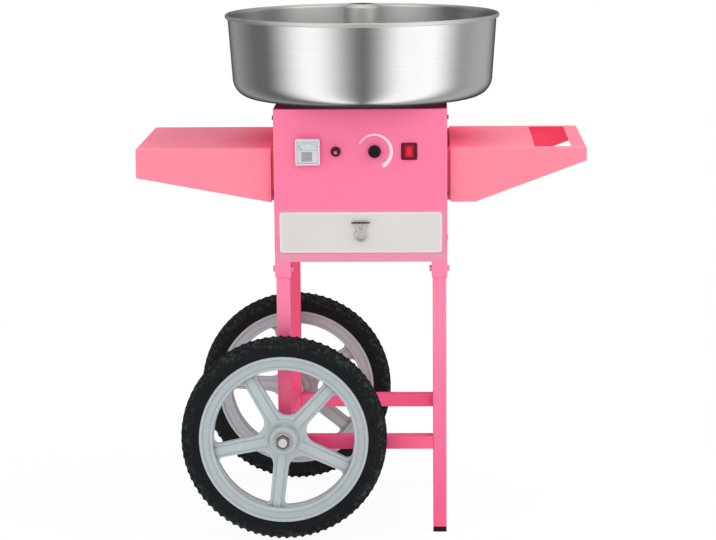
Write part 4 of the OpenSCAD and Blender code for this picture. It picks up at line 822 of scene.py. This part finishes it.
def lugs(a, r, h):
    """Radius less a lug's height between the lugs: the wave is tanh of a sine, nearly square. It starts
    3 mm from the tyre's middle, and fades out on the side wall, from 177 to 172 mm from the axle."""
    wave = np.tanh(2.5 * np.sin(lug_count * a))
    shoulder = np.clip((np.abs(h) - 3) / 2, 0, 1) * np.clip((r - 172) / 5, 0, 1)
    return r - lug_mm / 2 * (1 - wave) * shoulder


half_tyre = rounded([(156.2, 18, 0), (158, 19.5, 1.5), (169.5, 23, 4), (181, 23, 4), (189, 15, 4), (190, 2.6, 0.5),
                     (187, 2, 0.5), (187, 0, 0)], 4, closed=False)
walk = np.concatenate([[0], np.cumsum(np.linalg.norm(np.diff(half_tyre, axis=0), axis=1))])
even = np.linspace(0, 1, 61) * walk[-1]
half_tyre = np.column_stack([np.interp(even, walk, half_tyre[:, i]) for i in (0, 1)])
tyre = np.vstack([half_tyre, half_tyre[::-1] * (1, -1), half_tyre[:1]])
for side, sign in (("front", -1), ("rear", 1)):
    wheel_at = (axle_x, sign * wheel_y, axle_z)
    piece(f"{side}_lugged_tyre", f"{side}_wheel", tyre_rubber,
          [turned(tyre, wheel_at, "front", 800, lugs)], [f"{side}_tyre"], 60)

# %% [markdown]
# The wheel itself is one grey moulding: a rim ring, five spokes and a hub. Between two spokes is a
# window with round corners. A Boolean could cut the windows out of a disc, but it leaves edges that
# are hard to round. So the window's outline comes first: two straight spoke edges, two round corners
# at the rim and one round end at the hub.

# %% Windows between the spokes
sector = np.radians(36)  # half of the fifth of a turn that a window and half of both its spokes take up
window_r, corner_r, end_r = 129.5, 9, 26
spoke_from, spoke_half, spoke_long, spoke_closes = 16.05, 15, 117.45, 2


def window_outline(steps=14):
    """The window about +X. A spoke's edge starts spoke_half beside its middle line and turns inwards by
    spoke_closes over spoke_long; both edges meet at a tip near the hub. Each arc touches the lines on
    both sides of it: its middle is its radius away from the edge, and inside the rim or on the X axis."""
    b = sector + np.arctan(spoke_closes / spoke_long)
    x = spoke_from * np.cos(sector) + spoke_half * np.sin(sector)
    y = spoke_from * np.sin(sector) - spoke_half * np.cos(sector)
    tip = x - y / np.tan(b)
    end_x = tip + end_r / np.sin(b)
    g = b - np.arcsin((corner_r + tip * np.sin(b)) / (window_r - corner_r))
    cx, cy = (window_r - corner_r) * np.cos(g), (window_r - corner_r) * np.sin(g)
    gd, bd = np.degrees(g), np.degrees(b)
    corner = arc(cx, cy, corner_r, gd, 90 + bd, steps)
    end = arc(end_x, 0, end_r, 90 + bd, 270 - bd, 2 * steps)
    straight = rise(corner[-1], end[0], 6)
    return np.vstack([arc(0, 0, window_r, -gd, gd, 16), corner[1:], straight[1:-1], end,
                      (straight * (1, -1))[::-1][1:-1], arc(cx, -cy, corner_r, 270 - bd, 360 - gd, steps)])


print("points round a window:", len(window_outline()))

# %% [markdown]
# The flat web round each window could be drawn by hand with insets and bevels. As a grid its rows go
# round the window, and its columns go from the window's rounded edge out to the spokes' middle lines,
# on one face and on the other, so the rounding is even everywhere. A rib runs along each spoke. Both
# are worked out about the axle and turned to each spoke's angle.

# %% Web and ribs
web_half, web_round = 7, 2.5
window_middle = np.array([88.0, 0.0])
border_lean, border_r, border_x = np.radians(36.3), 134.0, 24


def web(turn_by):
    """One fifth of the web: from the window's edge outwards, along the ray from the window's middle,
    to the sector's border, with a round edge at the window. A ray ends where it first meets one of
    both leaning borders, the circle under the rim ring or the line inside the hub."""
    edge = window_outline()
    ahead_of = np.gradient(edge, axis=0)
    ahead_of[0] = ahead_of[-1] = (0, 1)
    out = np.column_stack([ahead_of[:, 1], -ahead_of[:, 0]])
    out /= np.linalg.norm(out, axis=1, keepdims=True)
    ray = edge - window_middle
    ray /= np.linalg.norm(ray, axis=1, keepdims=True)
    reach = np.full(len(ray), 1e3)
    for side in (1, -1):
        steer = side * ray[:, 1] * np.cos(border_lean) - ray[:, 0] * np.sin(border_lean)
        to_border = window_middle[0] * np.sin(border_lean) / np.maximum(steer, 1e-6)
        reach = np.where(steer > 1e-6, np.minimum(reach, to_border), reach)
    along = ray[:, 0] * window_middle[0]
    reach = np.minimum(reach, -along + np.sqrt(along ** 2 + border_r ** 2 - window_middle[0] ** 2))
    to_hub = (window_middle[0] - border_x) / np.maximum(-ray[:, 0], 1e-6)
    reach = np.where(ray[:, 0] < -1e-6, np.minimum(reach, to_hub), reach)
    border = window_middle + ray * reach[:, None]
    k = np.radians(np.linspace(90, 0, 6))
    drawn_in, level = web_round * (1 - np.cos(k)), web_half - web_round + web_round * np.sin(k)
    drawn_in, level = np.append(drawn_in, drawn_in[::-1]), np.append(level, -level[::-1])
    lip = edge[:, None] + out[:, None] * drawn_in[None, :, None]
    flat = np.concatenate([border[:, None], lip, border[:, None], border[:, None]], axis=1)
    level = np.concatenate([[web_half], level, [-web_half], [web_half]])
    c, s = np.cos(turn_by), np.sin(turn_by)
    x, z = flat[..., 0] * c - flat[..., 1] * s, flat[..., 0] * s + flat[..., 1] * c
    return grid(np.stack([x, np.broadcast_to(level, x.shape), z], -1))


def rib(turn_by):
    """A bar along a spoke: a 16 by 20 mm section with 3 mm corners, from inside the hub to the rim,
    drawn together to a point at both ends to close it."""
    section = rounded([(8, 10, 3), (-8, 10, 3), (-8, -10, 3), (8, -10, 3)], 4)
    far = np.array([18, 18, 60, 100, 133.5, 133.5])[:, None]
    full = np.array([0, 1, 1, 1, 1, 0])[:, None]
    width, depth = section[None, :, 0] * full, section[None, :, 1] * full
    c, s = np.cos(turn_by), np.sin(turn_by)
    return grid(np.stack([far * c - width * s, depth, far * s + width * c], -1))


print("points of one fifth of the web:", len(web(0)[0]), "and of a rib:", len(rib(0)[0]))

# %% [markdown]
# Ring and hub are turned. The ring has a raised bead on both edges, and the hub a wide collar that
# meets the spokes. A Boolean could fuse the parts of a rim; they only overlap inside the moulding,
# where nobody sees it, so they are simply joined. The two wheels stopped at different angles.

# %% Wheel rims
ring_profile = rounded([(131, -20, 2.5), (136, -20, 1.5), (137, -16.5, 1.5), (150, -16.5, 1.5), (151, -20, 1.5),
                        (156, -20, 1.5), (156, 20, 1.5), (151, 20, 1.5), (150, 16.5, 1.5), (137, 16.5, 1.5),
                        (136, 20, 1.5), (131, 20, 2.5)], 4)
hub_profile = rounded([(12.1, -29, 0.6), (25, -29, 2.5), (25, -9, 3), (36, -9, 2.5), (36, 9, 2.5), (25, 9, 3),
                       (25, 29, 2.5), (12.1, 29, 0.6)], 5)
spoke_degrees = np.array([-90, -18, 54, 126, 198])
for side, sign, rolled in (("front", -1, 6.6), ("rear", 1, 21.5)):
    spokes = np.radians(spoke_degrees - rolled)
    centre = np.array([axle_x, sign * wheel_y, axle_z])
    moulding = [turned(ring_profile, origin, "front", 160), turned(hub_profile, origin, "front", 72)]
    moulding += [web(a + sector) for a in spokes] + [rib(a) for a in spokes]
    moulding = [(p + centre, f, uv) for p, f, uv in moulding]
    piece(f"{side}_spoked_rim", f"{side}_wheel", wheel_plastic, moulding, [f"{side}_rim"], 45)

# %% [markdown]
# The axle is a round bar, painted between the wheels. A washer sits on both sides of each wheel's
# hub, and a hexagon nut outside. A six-sided cylinder would have sharp corners, and a real nut's are
# turned off: so its radius is the smaller of a hexagon's and of a turned cone's.

# %% Axle, nuts and washers
across_flats, nut_y, outer_washer_y, inner_washer_y = 24, 245, 241.3, 179


def hexagon(a, r, h):
    """Limits a turned radius to a hexagon: half the width across flats over the cosine of the angle
    from the nearest flat's middle. The bore is smaller, and stays round."""
    flat = np.mod(a + np.pi / 6, np.pi / 3) - np.pi / 6
    return np.minimum(r, np.where(r > across_flats * 0.38, across_flats / 2 / np.cos(flat), r))


nut_rows = [(8.1, 0), (8.1, 0), (12.4, 0), (14.2, 1.2), (14.2, 8.8), (12.2, 10), (9.4, 10), (8.1, 8.8), (8.1, 0)]
washer_rows = rounded([(8.1, 0, 0.1), (15, 0, 0.4), (15, 3.7, 0.6), (8.1, 3.7, 0.3)], 3)
nuts, washers = [], []
for way, sign in (("front", -1), ("back", 1)):
    nuts.append(turned(nut_rows, (axle_x, sign * nut_y, axle_z), way, 96, hexagon))
    for y in (outer_washer_y, inner_washer_y):
        washers.append(turned(washer_rows, (axle_x, sign * y, axle_z), way, 64))
piece("chamfered_axle_nuts", "cart", black_zinc, nuts, ["axle_nuts"], 25)
piece("turned_axle_washers", "cart", zinc_plate, washers, ["axle_washers"], 30)
axle_rows = rounded([(0, -258, 0), (6.5, -258, 0.4), (8, -256.5, 0.4), (8, 256.5, 0.4), (6.5, 258, 0.4),
                     (0, 258, 0)], 3, False)
piece("turned_axle", "cart", axle_paint, [turned(axle_rows, (axle_x, 0, axle_z), "back", 64)], ["axle"], 30)

# %% [markdown]
# The drawer's front is a pale enamelled plate with round corners, set flush into the pink housing.
# Its edges are rolled a little, which catches a thin line of light all round. A Bevel modifier gives
# such an edge on a box; here it is three steps of a pressed plate.

# %% Drawer front
front_rows = rounded([(0, 0, 0), (0, 1.5, 0.9), (8, 1.5, 0)], 4, False)
piece("enamelled_drawer_front", "drawer", pale_paint,
      [pressed(298, 76, 6, front_rows, (0, -179.5, drawer_mm))], ["drawer_front"], 30)

# %% [markdown]
# The voltmeter has a moulded square frame with a round case behind the panel, and a printed card.
# Frame and card could be boxes, but their round corners and sloping inner edges show in the light, so
# both are pressed plates. Each control takes its place on the panel from its own solid's box.

# %% Voltmeter
panel_y = -181


def on_panel(node):
    """The middle of a solid's box, brought to the panel's face, in millimetres."""
    return np.mean(np.array(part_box(node)), axis=0) * (1000, 0, 1000) + (0, panel_y, 0)


meter = on_panel("voltmeter_window")
frame_rows = rounded([(0, 0, 0), (0, 10, 2.0), (3, 10, 0.8), (3, 3.2, 0)], 4, False)
barrel = rounded([(0, 0, 0), (19, 0, 0), (19, -28, 1.5), (0, -28, 0)], 4, False)
piece("meter_frame", "cart", pale_plastic,
      [pressed(45, 48, 3, frame_rows, meter), turned(barrel, meter, "front", 48)], ["voltmeter_case"])
card_rows = [(0, 3.0), (0, 4.4), (0.1, 4.5)]
piece("meter_card", "cart", dial_card, [pressed(38.4, 41.4, 1, card_rows, meter)], ["voltmeter_dial"])

# %% [markdown]
# The card has a scale of thin marks along an arc, and a needle in front of it. Text objects or a
# picture could draw them; as bars they stay sharp at any size. All marks are worked out together,
# one row of the array for each.

# %% Meter's scale and needle
def marks(angles, inner, outer, thick, root, depth):
    """Thin bars on rays from a root: row by row the four corners of each bar and the first again, at
    each depth in front of the panel, closed by the middle of the first and of the last loop."""
    a = np.radians(np.asarray(angles, float))[:, None]
    lo, hi, w = np.asarray(inner, float).reshape(-1, 1), np.asarray(outer, float).reshape(-1, 1), thick / 2
    far = np.concatenate([lo, lo, hi, hi, lo], 1)
    wide = np.broadcast_to(np.array([-w, w, w, -w, -w]), far.shape)
    x, z = far * np.cos(a) - wide * np.sin(a), far * np.sin(a) + wide * np.cos(a)
    loops = [np.stack([x, np.full_like(x, -d), z], -1) + root for d in depth]
    middle = [np.broadcast_to(loop[:, :-1].mean(1, keepdims=True), loop.shape) for loop in (loops[0], loops[-1])]
    return [grid(np.stack([row[i] for row in (middle[0], *loops, middle[1])])) for i in range(len(far))]


mark_count = 16
root = meter + np.array([0, 0, -10])
mark_degrees = np.linspace(45, 135, mark_count)
mark_ends = np.where(np.arange(mark_count) % 5 == 0, 29.5, 27.5)
scale_bars = marks(mark_degrees, np.full(mark_count, 24.5), mark_ends, 0.7, root, (4.4, 4.7))
needle = marks([128], [6], [27], 0.8, root, (5.4, 5.9))
piece("meter_scale", "cart", scale_ink, scale_bars + needle)

# %% [markdown]
# Over the meter's works lie a pale plate with a bar along its top and a small grey cover, and a clear
# window closes the front. All four are the same pressed plate in different sizes. The window is thin
# and nearly clear, so it is a faint shine and not real glass, which would darken the dial.

# %% Meter's plates and window
plate_rows = rounded([(0, 4.4, 0), (0, 6.4, 0.6), (4, 6.4, 0)], 4, False)
bar_rows = rounded([(0, 5.0, 0), (0, 8.0, 0.6), (1, 8.0, 0)], 4, False)
piece("meter_lower_plate", "cart", pale_plastic,
      [pressed(38, 21, 0.8, plate_rows, meter + (0, 0, -10.2)), pressed(38, 2.4, 0.8, bar_rows, meter + (0, 0, 1.6))])
works_rows = rounded([(0, 6.0, 0), (0, 8.2, 0.8), (4, 8.2, 0)], 4, False)
piece("meter_works_cover", "cart", grey_plastic,
      [pressed(19, 17, 1.5, works_rows, meter + (-1.5, 0, -8.2))])
window_rows = rounded([(0, 8.5, 0), (0, 10, 0.4), (6, 10, 0)], 3, False)
piece("meter_window", "cart", clear_plastic, [pressed(38.8, 41.8, 1, window_rows, meter)],
      ["voltmeter_window"])

# %% [markdown]
# The heat knob is a skirted plastic knob with a fluted grip and a raised ridge that shows its
# setting. Flutes could be cut with an Array and a Boolean; a turned surface only needs a radius that
# goes in and out with the angle.

# %% Heat knob
def fluted(a, r, h):
    """Sinks 18 shallow grooves into the grip, which is the part from 5 to 14 mm high."""
    depth = 0.7 * (0.5 + 0.5 * np.cos(18 * a)) ** 2 * np.clip(h - 5, 0, 1) * (r > 8)
    return r - depth


knob_at = on_panel("heat_knob") + (0, -1, 0)
knob_rows = rounded([(3.1, 0, 0), (11.5, 0, 0.5), (11.5, 3, 0.8), (9.8, 4.6, 1), (9.2, 14, 1.4),
                     (0, 14, 0)], 6, False)
knob_rows = np.vstack([knob_rows[:1] * (0, 1), knob_rows])
piece("fluted_heat_knob", "knob", black_plastic, [turned(knob_rows, knob_at, "front", 288, fluted)],
      ["heat_knob"])
ridge = marks([90], [2.5], [9.0], 1.4, knob_at, (13.6, 14.5))
piece("knob_pointer_ridge", "knob", black_plastic, ridge)

# %% [markdown]
# Round the knob a printed scale grows from a thin line to a broad band, for low to high heat. It
# could be a texture on the panel; as a strip 0.15 mm thick it keeps a clean edge. Its width grows
# with the angle, and its section is a flat loop.

# %% Printed heat scale
scale_steps, scale_r, narrow, growth = 73, 30.5, 1.6, 6.0
a = np.radians(np.linspace(152, -62, scale_steps))[:, None]
wide = narrow + growth * np.linspace(0, 1, scale_steps)[:, None]
loop = np.array([[-0.5, 0.0], [0.5, 0.0], [0.5, 0.15], [-0.5, 0.15], [-0.5, 0.0]])
far = scale_r + wide * loop[None, :, 0]
strip = np.stack([far * np.cos(a), np.broadcast_to(1 - loop[None, :, 1], far.shape), far * np.sin(a)], -1) + knob_at
ends = np.broadcast_to(strip[[0, -1]][:, :-1].mean(1, keepdims=True), strip[[0, -1]].shape)
piece("printed_heat_scale", "cart", white_ink, [grid(np.concatenate([ends[:1], strip, ends[1:]]))])

# %% [markdown]
# Beside the knob is a fuse holder: a dark red collar with a screw cap, whose side is knurled and
# whose face is a dish with a small pink lens in it. Collar, stem, cap and lens are all turned, which
# is also how such parts are moulded; the knurl is a fine wave in the cap's radius.

# %% Fuse holder
def knurled(a, r, h):
    """Fine grooves round the cap's side, none on its face."""
    return r - 0.25 * (0.5 + 0.5 * np.cos(30 * a)) * (r > 6.5)


fuse = on_panel("fuse_cap")
collar = rounded([(6.9, 0, 0), (9, 0, 0.3), (9, 3, 0.8), (6.9, 3, 0.3)], 4)
stem = rounded([(0, 0.5, 0), (5.6, 0.5, 0), (5.6, -24, 0.5), (0, -24, 0)], 3, False)
piece("fuse_collar", "cart", dark_red_plastic,
      [turned(collar, fuse, "front", 64), turned(stem, fuse, "front", 40)], ["fuse_holder"])
cap = rounded([(0, 3.4, 0), (6.8, 3.4, 0), (6.8, 10.3, 0.9), (5.2, 10.3, 0.4), (3.6, 7.6, 1.5),
               (0, 6.9, 0)], 5, False)
piece("knurled_fuse_cap", "fuse_cap", dark_red_plastic, [turned(cap, fuse, "front", 240, knurled)],
      ["fuse_cap"])
lens_rows = rounded([(0, 7.0, 0), (3.3, 7.0, 0.2), (3.3, 8.6, 1.2), (0, 9.4, 0)], 6, False)
piece("fuse_lens", "fuse_cap", lens_plastic, [turned(lens_rows, fuse + (0, 0, -1.3), "front", 48)])

# %% [markdown]
# The rocker switch is a red key in a dark red frame, with a box of works behind the panel. The key's
# solid already has its bent face, so it is kept. The frame gets round edges, as a pressed plate
# whose last steps go inwards and down round the key.

# %% Switch
switch = on_panel("switch_body")
bezel = rounded([(0, 0, 0), (0, 2.5, 1.0), (5.5, 2.5, 0.5), (6, -1, 0)], 4, False)
works = rounded([(0, -0.2, 0), (0, -22, 0.6), (4, -22, 0)], 3, False)
piece("switch_bezel", "cart", frame_plastic,
      [pressed(29, 31, 2.5, bezel, switch), pressed(24, 27, 1, works, switch)], ["switch_body"])

# %% [markdown]
# The other solids already have the right shape: tubes, folded sheets with their bends, feet,
# runners and the works inside the housing. They could be made again like the rest, but nothing would
# look different. Each of them only gets the finish of the real piece.

# %% Finishes of the pieces that keep their solid
kept = {
    pink_paint: "base_plate housing_shell front_panel",
    bracket_paint: "shelf_brackets",
    bolt_paint: "socket_bolts",
    deck_paint: "top_deck",
    housing_paint: "drawer_housing",
    leg_paint: "front_left_leg front_right_leg leg_sockets rail_screws",
    rail_paint: "rear_left_leg rear_right_leg front_rail rear_rail cross_rail",
    shelf_paint: "left_shelf right_shelf",
    plate_paint: "pull_plate",
    sheet_steel: "spinner_base floss_band drawer_tray",
    zinc_plate: "drawer_runners drawer_slides motor_bracket head_nut potentiometer",
    bare_steel: "spindle spindle_bearings bearing_holder",
    nickel_with_painted_shade: "pull_ring",
    dark_steel: "pull_pin housing_screws",
    nylon: "front_bush rear_bush",
    black_plastic: "brush_block cord_gland",
    foot_plastic: "leg_feet",
    soft_rubber: "bowl_pads",
    red_plastic: "switch_rocker",
    motor_paint: "motor_body",
    copper: "slip_rings",
    ceramic: "heater_ring",
}
for material, names in kept.items():
    for name in names.split():
        for held in frame["nodes"][name].material_slots:
            held.material = material
shown = [n for n, o in frame["nodes"].items() if not o.hide_render]
print("solids kept:", len(shown), "left without a finish:", sorted(set(shown) - set(" ".join(kept.values()).split())))

# %% [markdown]
# The pink housing and the lamps would show in the bowl as small hard shapes, while the real bowl
# only shows broad bands. A rougher steel would hide them, and the bands with them. So only the
# panels, the bowl and the head in it are seen in reflections, and everything else is not.

# %% What reflections see
mirrored = [frame["nodes"][n] for n in ("spinner_base", "floss_band")]
mirrored += [bpy.data.objects[n] for n in ("spun_bowl", "sugar_cup_cover", "reflected_panels")]
for thing in scene.objects:
    thing.visible_glossy = thing in mirrored
print("seen in reflections:", [thing.name for thing in mirrored])
